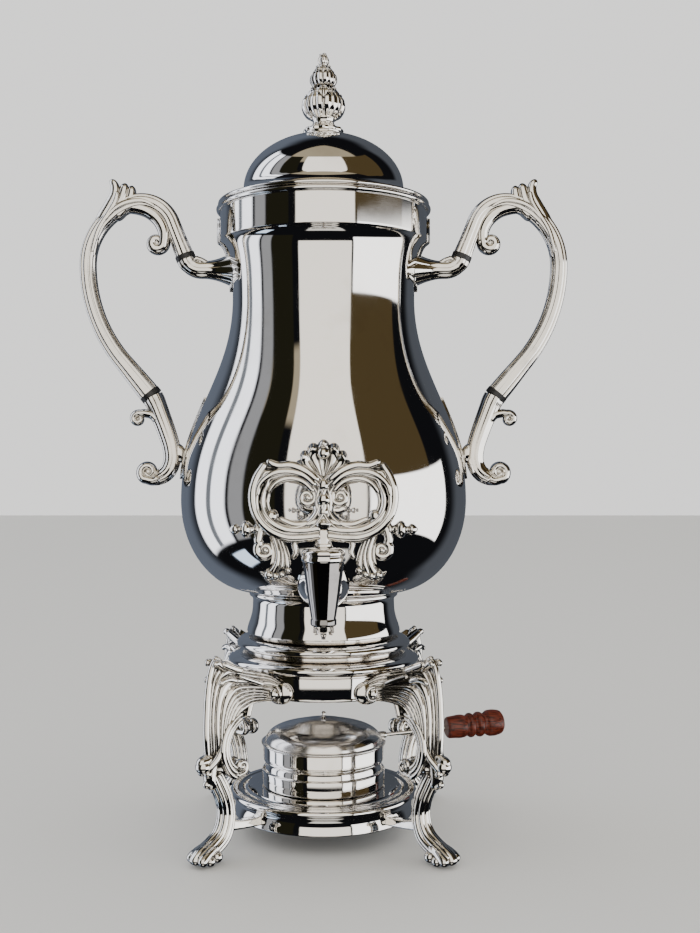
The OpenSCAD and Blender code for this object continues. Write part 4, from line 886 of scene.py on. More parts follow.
@dataclass
class Burner:
    """The spirit burner: cup, cover, wire and turned wooden grip."""

    cup_r: float = 35.5
    cover_r: float = 36.2
    sheet: float = 1.2
    wire_r: float = 1.1
    wire_reach: float = 36.0
    wire_angle: float = 14.0
    wire_tilt: float = 3.0
    grip_r: float = 7.8
    grip_l: float = 36.0

    def build(self) -> None:
        """Makes the cup and the cover, then the wire that rises a little towards its grip."""
        self.cup()
        r, level = self.cover_r, levels("snuffer_wire")[0] + self.wire_r
        self.cover(level)
        tilt = math.radians(self.wire_tilt)
        ahead = math.cos(tilt) * RIGHT + math.sin(tilt) * UP
        bend = np.array([r + 3.4, 0, level])
        start = bend + self.wire_reach * ahead
        wire = spline([(r - 2.5, 0, level), (r + 2.2, 0, level), bend + ahead, start + 12 * ahead], 80)
        wire = loft(even(wire, 40), self.wire_r, oval(18, 1.0))
        show("burner_wire", [wire.turned(self.wire_angle)], PLATE, Body.SNUFFER, "snuffer_wire")
        self.wood(start, ahead)

    def cup(self) -> None:
        """Makes the cup: a proud foot, a waist with a small bead over it and a rounded rim."""
        low, top = levels("burner_cup")
        r, t = self.cup_r, self.sheet
        inner = r - 1.6 - t
        cup = chain(
            (0.5, low), (20, low), arc(r - 1.2, low + 1.2, 1.2, -90, 0, 8), (r, low + 7.6),
            arc(r - 1, low + 8.4, 1, 0, 90, 8),
            spline([(r - 1.6, low + 9.7), (r - 1.6, low + 13.2), (r - 0.8, low + 14.5),
                    (r - 1.4, low + 15.5), (r - 0.5, low + 16.5)], 26),
            (r - 0.5, top - 1), arc(r - 1.3, top - 0.8, 0.8, 0, 90, 8),
            (inner, top), (inner, low + 8), (inner, low + t), (0.5, low + t))
        show("burner_fuel_cup", [lathe(cup, 192)], PLATE, Body.BURNER, "burner_cup")

    def cover(self, level: float) -> None:
        """Makes the snuffer cover, and at the wire's level the lug that holds it.

        Args:
            level: Height of the wire's end over the floor.
        """
        low, top = levels("snuffer_cover")
        r, t = self.cover_r, self.sheet

        def dome(d: float) -> Array:
            """Low dome with a shoulder, moved by d.

            Args:
                d: Distance outwards, below 0 for the inner face.
            Returns:
                Points (radius, height).
            """
            shoulder = (r - 15 + d, top - 3.4 + d)
            side = bezier([(r - 2.4 + d, low + t), (r - 3 + d, low + 7), (r - 9 + d, top - 4.6 + d),
                           shoulder], 28)
            crown = bezier([shoulder, (r - 22, top - 1.6 + d), (10, top + d), (1.4, top + d)], 20)
            return chain(side, crown[1:])

        shell = chain((r - 3.4, low), (r - 0.8, low), arc(r - 0.5, low + 0.5, 0.5, -80, 80, 8), dome(0.0),
                      dome(-t)[::-1])
        lug = loft(np.linspace((r - 4.2, 0, level), (r + 2.6, 0, level), 12), 2.05, oval(24, 1.0))
        show("burner_cover", [lathe(shell, 192, loop=True), lug.turned(self.wire_angle)], PLATE_SATIN,
             Body.SNUFFER, "snuffer_cover")

    def wood(self, start: Array, ahead: Array) -> None:
        """Makes the turned grip: three rings between two grooved swellings, round at its end.

        Args:
            start: Point where the wire enters the grip.
            ahead: Direction of the wire.
        """
        r, length = self.grip_r, self.grip_l
        shape = np.array([(0.84, 0.12), (0.88, 0.22), (0.85, 0.3), (0.78, 0.335), (0.8, 0.365),
                          (0.91, 0.395), (0.93, 0.42), (0.9, 0.45), (0.77, 0.485), (0.79, 0.51),
                          (0.92, 0.545), (0.95, 0.575), (0.92, 0.61), (0.79, 0.645), (0.81, 0.675),
                          (0.97, 0.73), (1.0, 0.8), (0.97, 0.88), (0.85, 0.955), (0.6, 0.993), (0.3, 1)])
        profile = chain((1.15, 0), (0.58 * r, 0), arc(0.6 * r, 0.22 * r, 0.22 * r, -80, 0, 6),
                        spline(shape * [r, length], 120), (0.5, length))
        turned = lathe(profile, 72).placed(start, np.cross(ahead, SIDEWAYS), SIDEWAYS, ahead)
        show("burner_wooden_grip", [turned.turned(self.wire_angle)], WOOD, Body.SNUFFER, "wooden_grip")


# ------------------------------------------------------------------ tap
@dataclass
class Tap:
    """The rotary tap's fixed pieces: socket, shank, cone and collar."""

    reach: float = 130.0
    inlet: float = 150.0
    socket_r: float = 13.5
    flange: float = 95.3
    cone_low: float = 136.0
    cone_r: tuple[float, float] = (6.2, 9.8)
    cone_h: float = 30.0

    def build(self) -> None:
        """Makes the two pieces that lie along the shank, then the two that stand at its end."""
        r, f = self.socket_r, self.flange
        socket = chain((0.5, 47.4), (r, 47.4), (r, 74), bezier([(r, 74), (12, 82), (8.4, 84), (8.2, 90)], 20),
                       arc(8, 92, 1.4, -60, 80), (7, 94), (0.5, 94))
        shank = chain((0.5, 84.6), (4.2, 84.6), (4.2, f), (7.3, f), arc(7.2, f + 1.4, 0.9, -60, 60, 8),
                      (5.7, f + 3.2), (5.1, f + 5), (5, 118), (5, 123), (0.5, 123))
        for name, profile, n, node in (("tap_boss", socket, 96, "tap_socket"),
                                       ("tap_pipe", shank, 64, "tap_shank")):
            lying = lathe(profile, n).placed((0, 0, self.inlet), RIGHT, UP, -SIDEWAYS)
            show(name, [lying], PLATE, Body.URN, node)
        collar = [(2.5, 0.05), (9.8, 0.05), (10.2, 0.5), (10.35, 1.1), (10.35, 2.4), (10.0, 2.9),
                  (10.0, 3.2), (10.3, 3.7), (10.3, 4.8), (9.9, 5.5), (9.0, 6.2), (7.6, 6.7), (6.0, 6.9),
                  (2.5, 6.95)]
        collar = lathe(collar, 128, loop=True).moved(0, -self.reach, self.cone_low + self.cone_h)
        show("tap_collar", [collar], PLATE, Body.URN, "tap_bonnet", sharp=50)
        n, w = self.cone_r
        cone = chain((3, 0.3), (3, 0), (n - 1.2, 0), arc(n - 1.2, 1.2, 1.2, -70, 0, 8), (n, 3.0),
                     (n - 0.35, 3.5), (n - 0.3, 3.9), ((n + w) / 2 - 0.1, 16), (w, self.cone_h),
                     (5, self.cone_h), (4, 8))
        cone = lathe(cone, 128, loop=True).moved(0, -self.reach, self.cone_low)
        # the cone's darker grey colour is a painted reflection of the dark table that its downward-tapering
        # silver face mirrors
        show("tap_cone", [cone], PLATE_PAINTED_DARK, Body.URN, "tap_body")


def front_rib(points: Array | Points, start: float, middle: float, stop: float, depth: float,
              n: int = 44) -> Sheet:
    """Rib in the key's plane through points (x, z), its middle at a depth in front of it."""
    return rib(in_plane(points, -depth), start, middle, stop, n, oval(14, 1.0))


def swirl_band(x: float, z: float, a: float, b: float, width: float) -> Sheet:
    """Oval band round a window whose ridges swirl from its inner to its outer edge.

    At angle t and place u across it, the band lies at (x + (a + w u) cos t, z + (b + w u) sin t)
    and its front rises by a dome times ridges of the phase pi (3 u - t / 2 pi), so each ridge
    runs one place outwards on its way round. A flame tip widens it at its upper outer corner.

    Args:
        x: Middle of the window.
        z: Middle of the window.
        a: Half width of the window.
        b: Half height of the window.
        width: Width of the band.
    Returns:
        The closed ring.
    """
    t = steps_round(160)[:, None]
    u, front = round_trip(0, 1, 34)
    corner = np.angle(np.exp(1j * (t - math.radians(47))))
    w = width * (1 + 0.32 * np.exp(-(corner / 0.17) ** 2) - 0.1 * np.exp(-((corner - 0.5) / 0.2) ** 2))
    dome = np.sin(math.pi * np.clip(u, 0.015, 0.985)) ** 0.45
    rise = 0.5 + dome * (1.2 + 2.5 * ridges(math.pi * (3 * u - t / TAU)))
    y = np.where(front, -rise, 2.2 - 0.7 * (1 - dome))
    return Sheet(np.stack([x + (a + w * u) * np.cos(t), y, z + (b + w * u) * np.sin(t)], axis=-1), True)


@dataclass
class TapKey:
    """The flat cast key: two ridged ovals, a palmette, hanging leaves and side finials."""

    reach: float = 130.0
    window: tuple[float, float, float, float] = (14.6, 194.4, 10.7, 9.7)
    band: float = 9.1

    def build(self) -> None:
        """Makes the neck, and the key as one casting whose right half is mirrored to the left."""
        neck = [(0.4, 173.05), (4.2, 173.05), (4.5, 173.6), (4.3, 174.4), (3.9, 174.8), (3.9, 181.0),
                (4.3, 181.4), (4.5, 182.2), (4.2, 182.95), (0.4, 182.95)]
        block = lathe(neck, 8).turned(22.5).moved(0, -self.reach, 0)
        show("tap_key_neck", [block], CAST, Body.KEY, "key_neck", sharp=25)
        half = self.loop() + self.hanging_leaf() + self.side_finial() + self.post_leaves()
        made = half + [sheet.mirrored() for sheet in half] + self.middle()
        show("tap_key_cast", [sheet.moved(0, -self.reach, 0) for sheet in made], CAST, Body.KEY,
             "tap_key", sharp=60)

    def loop(self) -> list[Sheet]:
        """Band, the leaf ribs over it and the volute inside its window.

        Returns:
            The right half's castings.
        """
        ribs = [
            # leaf that runs from under the palmette to the flame tip
            ([(2.0, 203.6), (8, 208.4), (15, 211.2), (21.5, 211.2), (26.6, 213.6)], 1.9, 2.4, 0.9, 2.2),
            ([(3.4, 201.5), (9, 206.4), (16.6, 208.4), (24, 207.2), (29.6, 202.6), (31.4, 196)],
             1.4, 2.0, 0.8, 2.8),
            ([(4.4, 198.8), (9.4, 203.6), (16, 205.2), (22.4, 203), (26, 198)], 1.2, 1.7, 0.6, 2.0),
            # leaf that climbs the outer side and curls over at the tip
            ([(0.6, 178.6), (9, 177.6), (18, 177.8), (26.2, 181.8), (31.6, 189), (33.2, 197.4),
              (31.4, 205.4), (27.0, 212.6)], 1.8, 2.2, 1.4, 1.9),
            ([(0.6, 182), (9, 180.8), (18, 181.4), (25, 185.2), (29, 191)], 1.9, 2.1, 0.7, 2.2),
            ([(0.6, 185.6), (7, 184), (14, 183.8), (21, 186.8)], 1.9, 1.9, 0.6, 1.6),
            # volute
            (curl([(17, 204.6), (10, 203.2), (5.6, 199.6)], 16, 7.7, 196.3, 3.9, 1.3, 120, 620, 40),
             1.0, 1.6, 0.9, 1.2, 70)]
        return [swirl_band(*self.window, self.band), *(front_rib(*spec) for spec in ribs),
                ball(7.5, -1.6, 196.2, 1.7)]

    @staticmethod
    def palmette() -> Sheet:
        """Shell-like fan over the middle: seven lobes with rolled tips and a hollow under the bead.

        At angle a and place v along a ray, the fan lies at v R(a) (sin a, cos a) from its root,
        where R falls off to the sides and dips between lobes; its front bulges at the tips.

        Returns:
            The closed fan.
        """
        a = np.radians(np.linspace(-64, 64, 150))
        v = np.concatenate([np.linspace(0.06, 1, 60), np.linspace(0.98, 0.06, 12)])[:, None]
        front = np.arange(len(v))[:, None] < 60
        lobe = np.abs(np.cos(a * 7 * math.pi / math.radians(128)))
        reach = v * (20.2 - 5.4 * (np.abs(a) / 1.117) ** 1.4) * (0.9 + 0.1 * lobe ** 0.7)
        bend = a * (1 + 0.16 * np.sin(math.pi * v))
        swell = 0.7 + 1.6 * np.sin(0.86 * math.pi * v) + 1.5 * np.exp(-((v - 0.86) / 0.1) ** 2)
        hollow = 1.9 * np.exp(-(a / 0.13) ** 2 - ((v - 0.46) / 0.26) ** 2)
        edge = np.sqrt(np.clip((1.0 - v) * 9, 0.04, 1))
        rise = (0.9 + swell * (0.45 + 0.55 * lobe ** 0.6) - hollow) * edge
        y = np.where(front, -rise, 1.6 * edge)
        fan = np.stack([reach * np.sin(bend), y, 203.4 + reach * np.cos(bend)], axis=-1)
        return Sheet(np.swapaxes(fan, 0, 1))

    def middle(self) -> list[Sheet]:
        """Palmette with its beads, and the baluster post under it.

        Returns:
            Castings on the key's middle line.
        """
        post = spline([(4.3, 183.1), (4.5, 184.4), (3.0, 185.8), (2.2, 187.4), (2.9, 189.2),
                       (2.7, 190.8), (2.1, 192.0), (3.3, 193.6), (3.8, 195.4), (3.1, 197.3),
                       (2.1, 198.7), (3.1, 200.6), (3.3, 202.4), (2.2, 204.8), (0.6, 206.4)], 90)
        post = chain((0.4, 183.05), (3.9, 183.05), post, (0.3, 206.6))
        return [self.palmette(), ball(0, -3.3, 217.0, 3.0), ball(0, -2.6, 221.4, 1.7),
                lathe(post, 48).moved(0, -1.4, 0)]

    @staticmethod
    def post_leaves() -> list[Sheet]:
        """Ribs that spring from the post's foot and from its middle."""
        return [front_rib([(0, 184.6), (4.5, 183.4), (9, 181.4)], 2.6, 2.2, 1.2, 0.6),
                front_rib([(1.4, 197), (3.6, 200.4), (6, 204)], 1.4, 1.7, 1.2, 0.8)]

    @staticmethod
    def hanging_leaf() -> list[Sheet]:
        """Fluted leaf under the band with a bead on each tip, and the curl outside it.

        Returns:
            The right half's castings.
        """
        net = (((27.4, -1.2, 184.4), (25.0, -1.6, 177.6), (23.8, -2.0, 171), (24.6, -2.2, 165.4),
                (27.4, -1.6, 161.2), (26.6, -1.0, 158.8)),
               ((25.6, -2.0, 183.6), (22.8, -2.6, 176.6), (21.2, -3.2, 170.4), (21.4, -3.4, 165),
                (23.0, -2.8, 160.6), (23.4, -1.6, 157.6)),
               ((23.6, -2.0, 182.4), (20.4, -2.6, 175.4), (18.6, -3.0, 169.6), (18.4, -3.0, 164.8),
                (19.6, -2.4, 161.0), (20.4, -1.4, 158.8)),
               ((21.6, -1.2, 181.2), (17.8, -1.4, 174.4), (15.8, -1.6, 168.8), (15.2, -1.6, 164.8),
                (16.0, -1.4, 162.2), (17.4, -1.0, 160.4)))
        volute = curl([(27.6, 185), (29.8, 180.6), (30.8, 175.4)], 16, 27.4, 171.6, 4.0, 1.2, 52, -400, 44)
        beads = ((25.6, 160.2, 2.1), (22.6, 159.6, 2.0), (19.6, 160.4, 1.8), (16.6, 162.2, 1.6))
        return [fluted(net, 3.5, 1.35, (2.6, 2.4), (0, -1, 0), 0.1, 80, 60),
                *(ball(x, -1.9, z, r) for x, z, r in beads),
                front_rib(volute, 2.2, 1.9, 1.0, 1.0, 76), ball(27.3, -1.2, 171.6, 1.7),
                front_rib([(12, 178.8), (13.6, 174.4), (13.0, 170.4), (14.6, 167.4)], 1.5, 1.5, 0.9, 0.2)]

    @staticmethod
    def side_finial() -> list[Sheet]:
        """Turned finial that points sideways, on a leaf-shaped neck.

        Returns:
            The right half's castings.
        """
        profile = spline([(2.5, 27.4), (2.9, 28.6), (2.2, 29.6), (3.1, 30.6), (3.2, 31.4), (1.9, 32.4),
                          (2.3, 33.6), (3.7, 35.2), (4.1, 36.6), (3.4, 37.9), (1.7, 38.7), (1.5, 39.6),
                          (2.4, 40.6), (2.6, 41.6), (2.0, 42.9), (0.9, 43.9), (0.3, 44.3)], 110)
        turned = lathe(chain((0.3, 27.0), profile), 40).placed((0, 0, 181.4), UP, SIDEWAYS, RIGHT)
        return [turned, front_rib([(22, 190), (26.5, 185.4), (30, 181.8)], 2.4, 3.2, 2.2, 0.4)]


# ------------------------------------------------------------------ cast legs
@dataclass
class Leg:
    """One cast leg: fluted acanthus cheeks, a crest, an inner scroll, a fluted shank and toes."""

    flutes: float = 8.5
    flute_depth: float = 1.6
    rivet_angle: float = 16.6
    rivet_out: float = 50.4
    rivet_up: float = 4.4
    seat: float = 52.06
    cheek: tuple[Points, ...] = (
        ((49.9, 18.4, 93.6), (54.2, 13.4, 97.4), (59, 8, 99.8), (68, 3.8, 102.4), (77.4, 1.8, 107.2),
         (84.2, 1.2, 99), (86.2, 1, 84), (86.2, 1, 67), (84.6, 0.8, 51.6)),
        ((49.8, 18.8, 91.4), (54.6, 14.8, 95), (60, 10.8, 97), (68, 7.2, 99.2), (76.6, 4.8, 100.6),
         (82.3, 4.2, 93), (84.6, 3.8, 80.5), (84.8, 3.4, 65.5), (83.6, 2.2, 51.4)),
        ((49.8, 19.0, 89.0), (54.8, 15.4, 90.8), (60, 12.3, 92.4), (67, 9.6, 93.2), (74, 8, 92),
         (79.2, 7, 85.5), (81.8, 6.4, 75.5), (82.4, 5.8, 63), (82, 3.4, 51)),
        ((49.8, 18.8, 86.6), (54.6, 15.0, 86.8), (59.6, 12.3, 88), (66.4, 9.6, 87.6), (72.8, 8.2, 85.2),
         (77.2, 7.2, 79), (79.6, 6.6, 70.5), (80.5, 6, 60.5), (81, 3.8, 50.8)),
        ((49.9, 18.4, 84.4), (54.2, 14.2, 83.9), (58.5, 11.5, 84), (65, 8.6, 82.6), (71, 7.2, 79),
         (75, 6.6, 73), (77.5, 6.4, 66), (79, 5.8, 58), (80.5, 3.6, 50.5)))

    def build(self, corner: Corner) -> None:
        """Makes the leg at one corner, its sides mirror images, cut off flat at the floor.

        Args:
            corner: Corner that the leg stands at.
        """
        half = [self.cheek_sheet(), self.rosette(), self.arm_end(), *self.flames(), *self.volutes(),
                *self.toes()]
        made = half + [sheet.mirrored(1) for sheet in half]
        made += self.crest() + self.core() + [self.shank(), self.tray_lug()]
        flat = [sheet.mapped(lambda p: np.maximum(p, [-np.inf, -np.inf, 0])) for sheet in made]
        name = corner.name.lower()
        show("leg_cast_" + name, [sheet.turned(corner.value) for sheet in flat], CAST, Body.URN,
             "leg_" + name, sharp=60)

    def cheek_sheet(self) -> Sheet:
        """One cheek: flutes run from the arm's rosette over the knee and down into the shank.

        Returns:
            The leg's left cheek.
        """
        p = fluted(self.cheek, self.flutes, self.flute_depth, (4.2, 2.4), (0.4, 1.0, 0.3), 0.22).points
        # nothing goes into the ring
        r = np.linalg.norm(p[..., :2], axis=-1, keepdims=True)
        inside = (p[..., 2:] < RING_TOP + 2) & (r < self.seat)
        push = np.where(inside, self.seat / np.maximum(r, 1), 1.0)
        return Sheet(np.concatenate([p[..., :2] * push, p[..., 2:]], axis=-1))

    def at_rivet(self, turned: Sheet, degrees: float = 0.0, wide: float = 1.0) -> Sheet:
        """A turned piece set up at the rivet, its axis pointing out from the ring's band.

        Args:
            turned: Piece turned about Z, its foot at 0.
            degrees: Turn round the urn past the rivet.
            wide: Factor on its width.
        Returns:
            The piece in place.
        """
        a = math.radians(self.rivet_angle + degrees)
        ahead = math.cos(a) * RIGHT + math.sin(a) * SIDEWAYS
        middle = self.rivet_out * ahead + (BAND_LOW + self.rivet_up) * UP
        return turned.placed(middle, wide * np.cross(UP, ahead), UP, ahead)

    def rosette(self) -> Sheet:
        """Raised ring round the rivet in the arm.

        Returns:
            The ring in place.
        """
        ring = [(2.9, 5.3), (3.1, 6.0), (3.6, 6.3), (4.2, 6.0), (4.5, 5.3), (4.3, 3.4), (3.4, 2.0),
                (2.9, 2.0)]
        return self.at_rivet(lathe(ring, 72, loop=True))

    def arm_end(self) -> Sheet:
        """Round end of the arm behind its rosette."""
        dome = arc(0, 0, 1, 0, 86, 14) * [6.3, 3.3] + [0, 2.2]
        return self.at_rivet(lathe(chain((0.5, 1.9), (6.3, 1.9), dome), 72), 1.6, 1.22)

    @staticmethod
    def flames() -> list[Sheet]:
        """Curled leaf tips on the knee's shoulder and beside the bead under it.

        Returns:
            The tips on the leg's left side.
        """
        return [rib(*spec, n=30) for spec in (
            ([(66, 5.2, 100), (73, 4.6, 102.6), (78.5, 4.4, 105), (80.6, 5, 106.4)], 1.6, 2.4, 1.3),
            ([(77, 2.6, 101), (80.4, 3.0, 104.6), (83.4, 3.2, 106.4), (85.2, 3.2, 104.6)], 1.6, 2.0, 1.2),
            ([(72, 7.4, 96), (78, 6.8, 97.6), (82, 6.2, 96.6), (83.4, 6.4, 95)], 1.4, 1.7, 1.0),
            ([(58, 12.4, 93), (64, 11, 95.6), (69, 9.6, 97.6), (72.4, 9, 99)], 1.2, 1.5, 0.9),
            ([(81, 5.6, 62), (84, 4.6, 56), (87.6, 3.4, 52), (88.8, 2.6, 49.4)], 1.2, 1.8, 1.4))]

    @staticmethod
    def crest() -> list[Sheet]:
        """Leaf over the top between the cheeks, the keel down the front and the lower beads.

        Returns:
            Castings on the leg's middle line.
        """
        top = even(spline(in_plane([(52.6, 96.8), (62, 98.6), (72, 101.6), (79, 106.6), (81, 108.6)]),
                          160), 50)
        half = np.interp(np.linspace(0, 1, 50), [0, 0.25, 0.6, 0.9, 1], [14, 9.5, 4.6, 2.2, 1.2])
        # the leaf's wide root rises no more than its narrow middle
        lower = np.stack([4.2 / np.maximum(half, 4.2), np.ones(50)], axis=-1)[:, None]
        keel = [(76, 104), (80.6, 107.8), (83.6, 104), (86, 94), (87.2, 80), (87.3, 66), (86.2, 54)]
        return [loft(top, half, ribbed(60, 0.24, 1.0, 0.2, 5, 0.5) * lower, rounded=False),
                rib(in_plane(keel), 1.2, 1.9, 1.6, n=80),
                ball(89.4, 0, 52.2, 4.4, 0.9), ball(88.4, 2.6, 48.8, 2.3), ball(88.4, -2.6, 48.8, 2.3),
                ball(87.2, 0, 42.4, 2.2), ball(80.9, 0, 108.2, 1.6),
                rib(in_plane([(84, 58), (87, 55), (90.4, 54.4), (92, 51.6)]), 3.0, 3.4, 1.8),
                rib(in_plane([(82, 56), (84.4, 50), (84.6, 45), (82.6, 39)]), 3.4, 3.9, 3.0)]

    @staticmethod
    def core() -> list[Sheet]:
        """Middle of the inner C-scroll, and the webs that tie it to the arm, knee and shank.

        Returns:
            Castings on the leg's middle line.
        """
        return [rib(in_plane(points), *sizes, n, oval(20, wide)) for points, sizes, n, wide in (
            (arc(67.5, 60.5, 13.2, 100, -84, 60), (2.2, 3.0, 2.4), 60, 1.6),
            ([(61.5, 73), (60.4, 79), (58.6, 85)], (2.0, 2.4, 2.8), 24, 2.2),
            ([(80.6, 54), (79.6, 62), (77, 72), (72, 80)], (2.6, 3.0, 2.6), 40, 1.8),
            ([(70, 48), (77, 49), (83, 50.4)], (2.6, 3.6, 3.6), 30, 1.3))]

    @staticmethod
    def volutes() -> list[Sheet]:
        """One side of the inner scroll: three ridges and the curl at its lower end.

        Returns:
            Castings on the leg's left side.
        """
        volute = curl([(77.4, 55.0), (75.0, 49.4), (70.4, 45.2), (66.4, 45.2)], 24,
                      66.8, 49.0, 3.8, 0.9, -96, -480, 50)
        made = [rib(in_plane(volute, 3.6), 1.6, 1.9, 1.1, 90, oval(16, 1.3)), ball(66.8, 4.4, 49.0, 2.0)]
        bulge = np.interp(np.linspace(0, 1, 60), [0, 0.25, 1], [0.8, 1, 0.92])
        for r, y, size in ((10.4, 5.0, 1.3), (12.8, 6.2, 1.5), (15.2, 6.8, 1.4)):
            ridge = in_plane(arc(0, 0, 1, 88, -70, 60) * [r, r + 2.2] + [66.6, 60.5])
            path = ridge + np.outer(y * bulge, SIDEWAYS)
            made.append(rib(path, 0.8 * size, size, size, 70, oval(16, 1.1)))
        return made

    @staticmethod
    def shank() -> Sheet:
        """Fluted shank that turns out into the foot.

        Returns:
            The shank.
        """
        line = spline([(82.6, 48, 4.6, 4.6), (78.8, 40.5, 4.8, 5.0), (75.5, 33, 4.7, 5.1),
                       (74.0, 26, 4.7, 5.1), (74.7, 19, 4.9, 5.1), (77.4, 13.2, 5.3, 5.2),
                       (83, 9.0, 5.2, 5.3), (89.6, 6.2, 4.6, 5.4), (95, 4.0, 3.4, 4.8)], 90)
        a = steps_round(64)
        ring = (0.88 + 0.17 * ridges(4 * a)) * np.stack([np.cos(a), np.sin(a)])
        return loft(in_plane(line[:, :2]), 1.0, line[:, None, 2:] * ring.T)

    @staticmethod
    def tray_lug() -> Sheet:
        """Squarish lug that reaches in from the shank to carry the tray.

        Returns:
            The lug.
        """
        x, low, high = np.array([(51.06, 13.4, 18.4), (54.7, 13.5, 18.4), (55.2, 13.6, 18.4),
                                 (57.5, 13.8, 18.5), (60.5, 14.0, 18.7), (65, 14.4, 19.3),
                                 (69.5, 14.8, 20.6), (73.5, 15.0, 23), (76, 15, 24)]).T[..., None]
        up, side = fluted_round(64, 1, 0, 0.35).T
        rows = np.broadcast_arrays(x, 3 * side, (low + high + (high - low) * up) / 2)
        return Sheet(np.stack(rows, axis=-1))

    @staticmethod
    def toes() -> list[Sheet]:
        """Outer toe and half of the middle one, with the lumps behind them.

        Returns:
            Castings on the foot's left side.
        """
        return [rib([(80, 2.4, 10), (87, 3.8, 8.2), (92.4, 4.6, 5.4), (95.4, 4.7, 2.4)], 2.0, 2.4, 3.0, 36),
                rib([(80, 0.6, 12.6), (87, 0.8, 10.2), (93, 0.6, 7), (96.8, 0.3, 2.4)], 1.8, 2.3, 3.0, 36),
                ball(88.6, 4.6, 3.4, 2.8), ball(83.6, 4.2, 4.4, 3.0)]


# ------------------------------------------------------------------ handles
class Side(Enum):
    """Side of the urn that a handle is on."""

    LEFT = "left"
    RIGHT = "right"


@dataclass
class Handle:
    """One handle: a squarish fluted grip with a crest of leaf tips, and its two cast sockets."""

    side: Side
    bow: tuple[float, float, float] = (49.72, 327.74, 87.3)
    crown: tuple[float, float, float] = (99.0, 327.74, 38.0)
    hook: tuple[float, float, float] = (105.67, 346.06, 18.5)
    foot: tuple[float, float] = (101.5, 253.3)
    head: tuple[float, float] = (81.0, 333.7)
    arm: tuple[float, float] = (79.9, 330.8)
    stem: tuple[float, float] = (99.5, 250.9)

    def build(self) -> None:
        """Makes the grip and both sockets on this side."""
        side = self.side.value
        for name, sheets in (("grip", self.grip()), ("upper_socket", self.upper()),
                             ("lower_socket", self.lower())):
            if self.side is Side.LEFT:
                sheets = [sheet.mirrored() for sheet in sheets]
            show(f"handle_{name}_{side}", sheets, CAST_LIGHT, Body.URN, f"{name}_{side}", sharp=60)

    def grip_line(self) -> Array:
        """Middle line of the grip: from its foot over the bow, the crown and the hook to its head."""
        return chain(self.foot, arc(*self.bow, -39.5, 0, 60), arc(*self.crown, 1, 70, 50),
                     arc(*self.hook, 72, 158.5, 40), self.head)

    def grip(self) -> list[Sheet]:
        """Grip, crest of leaf tips with the web behind them, and the volute under the hook.

        Returns:
            Castings of the right handle's grip.
        """
        n = 170
        size = np.interp(np.linspace(0, 1, n), [0, 0.04, 0.13, 0.3, 0.55, 0.72, 0.9, 0.97, 1],
                         [6.3, 6.2, 5.4, 5.0, 4.9, 5.1, 4.8, 5.0, 5.6])
        size = np.convolve(np.pad(size, 5, mode="edge"), np.ones(11) / 11, mode="valid")
        path = in_plane(even(self.grip_line(), n))
        section = ribbed(28, 0.95, 1.1, 0.8, 2, 0.3)

        def tip(points: Points, start: float, middle: float, stop: float, y: float = 0.0) -> Sheet:
            """Leaf tip of the crest, at depth y."""
            return rib(in_plane(points, y), start, middle, stop, 50, section, -SIDEWAYS)

        beside = [
            tip([(134.4, 334), (130.4, 347.6), (124.4, 357.6), (120.8, 364), (119.4, 370)],
                1.0, 1.9, 1.2, 3.4),
            tip([(128, 352), (120, 360.4), (112, 363.8), (104, 364.2), (96.6, 360.6)], 1.4, 2.2, 1.0, 3.2)]
        volute = curl([(118, 360.8), (110, 361), (102, 358.8), (95.8, 353.8), (92.6, 347.4), (92.4, 342.2)],
                      40, 96.9, 340.4, 4.2, 1.0, 172, 640, 60)
        web = in_plane([(126.4, 352), (121.2, 360), (118.6, 366), (118.2, 371.4)])
        return [
            loft(path, size, fluted_round(96, 4.5, 0.13, 0.82), -SIDEWAYS, rounded=False),
            tip([(135.2, 330), (132.6, 343), (128.6, 354), (124.2, 362), (121.2, 368.6), (121.4, 374),
                 (124.0, 377.4)], 2.6, 4.1, 1.7),
            tip([(128, 350), (121.6, 358.5), (117.6, 365), (116, 371), (115.2, 375.4)], 3.4, 4.2, 1.9),
            tip([(122, 354), (115.4, 361), (112.2, 366.6), (111.6, 370.6), (111.6, 374)], 3.4, 4.0, 1.9),
            tip([(116, 363.6), (107, 365.6), (98, 363.2), (90.6, 356.4), (86.6, 347.4)], 2.6, 3.2, 1.3),
            *beside, *(sheet.mirrored(1) for sheet in beside),
            rib(web, 4.0, 4.4, 2.2, section=oval(24, 0.6)),
            rib(in_plane(volute), 2.8, 3.9, 1.6, 130, oval(20, 1.2)), ball(96.8, 0, 340.4, 2.5)]

    def upper(self) -> list[Sheet]:
        """Upper socket: arm that flares on to the neck, small volute and the leaf on the neck.

        Returns:
            Castings of the right upper socket.
        """
        line = chain(self.arm, arc(71.06, 334.28, 9.5, -20, -90, 16)[1:], (66, 324.8), (61, 324.8),
                     (56.5, 324.8), (52.4, 324.8))
        t = np.linspace(0, 1, 70)
        flare = 5.4 * np.clip((t - 0.42) / 0.58, 0, 1) ** 1.8
        size = np.interp(t, [0, 0.06, 0.14, 1], [5.6, 5.7, 5.2, 5.2]) + flare
        path = in_plane(even(spline(line, 200), 70))
        volute = curl([(66, 327.4), (71, 330.4), (73.6, 331.2)], 12, 73.2, 328.9, 2.6, 0.8, 80, -360, 40)
        vein = rib([(54.6, 1.5, 322), (54.8, 4, 334), (55.6, 3.4, 342), (59.6, 1.0, 349)], 1.6, 1.5, 0.8, 30)
        return [loft(path, size, fluted_round(60, 3.5, 0.13), -SIDEWAYS, rounded=False),
                rib(in_plane(volute), 1.4, 1.7, 1.0, 50, oval(16, 1.5)),
                body_leaf([(312, 0.5), (315.4, 5.0), (320.6, 8.6), (326.6, 9.4), (332, 6.8), (336.4, 7.8),
                           (340.6, 5.6), (344.6, 6.2), (349, 3.6), (352, 3.2), (354.8, 0.4)]),
                vein, vein.mirrored(1)]

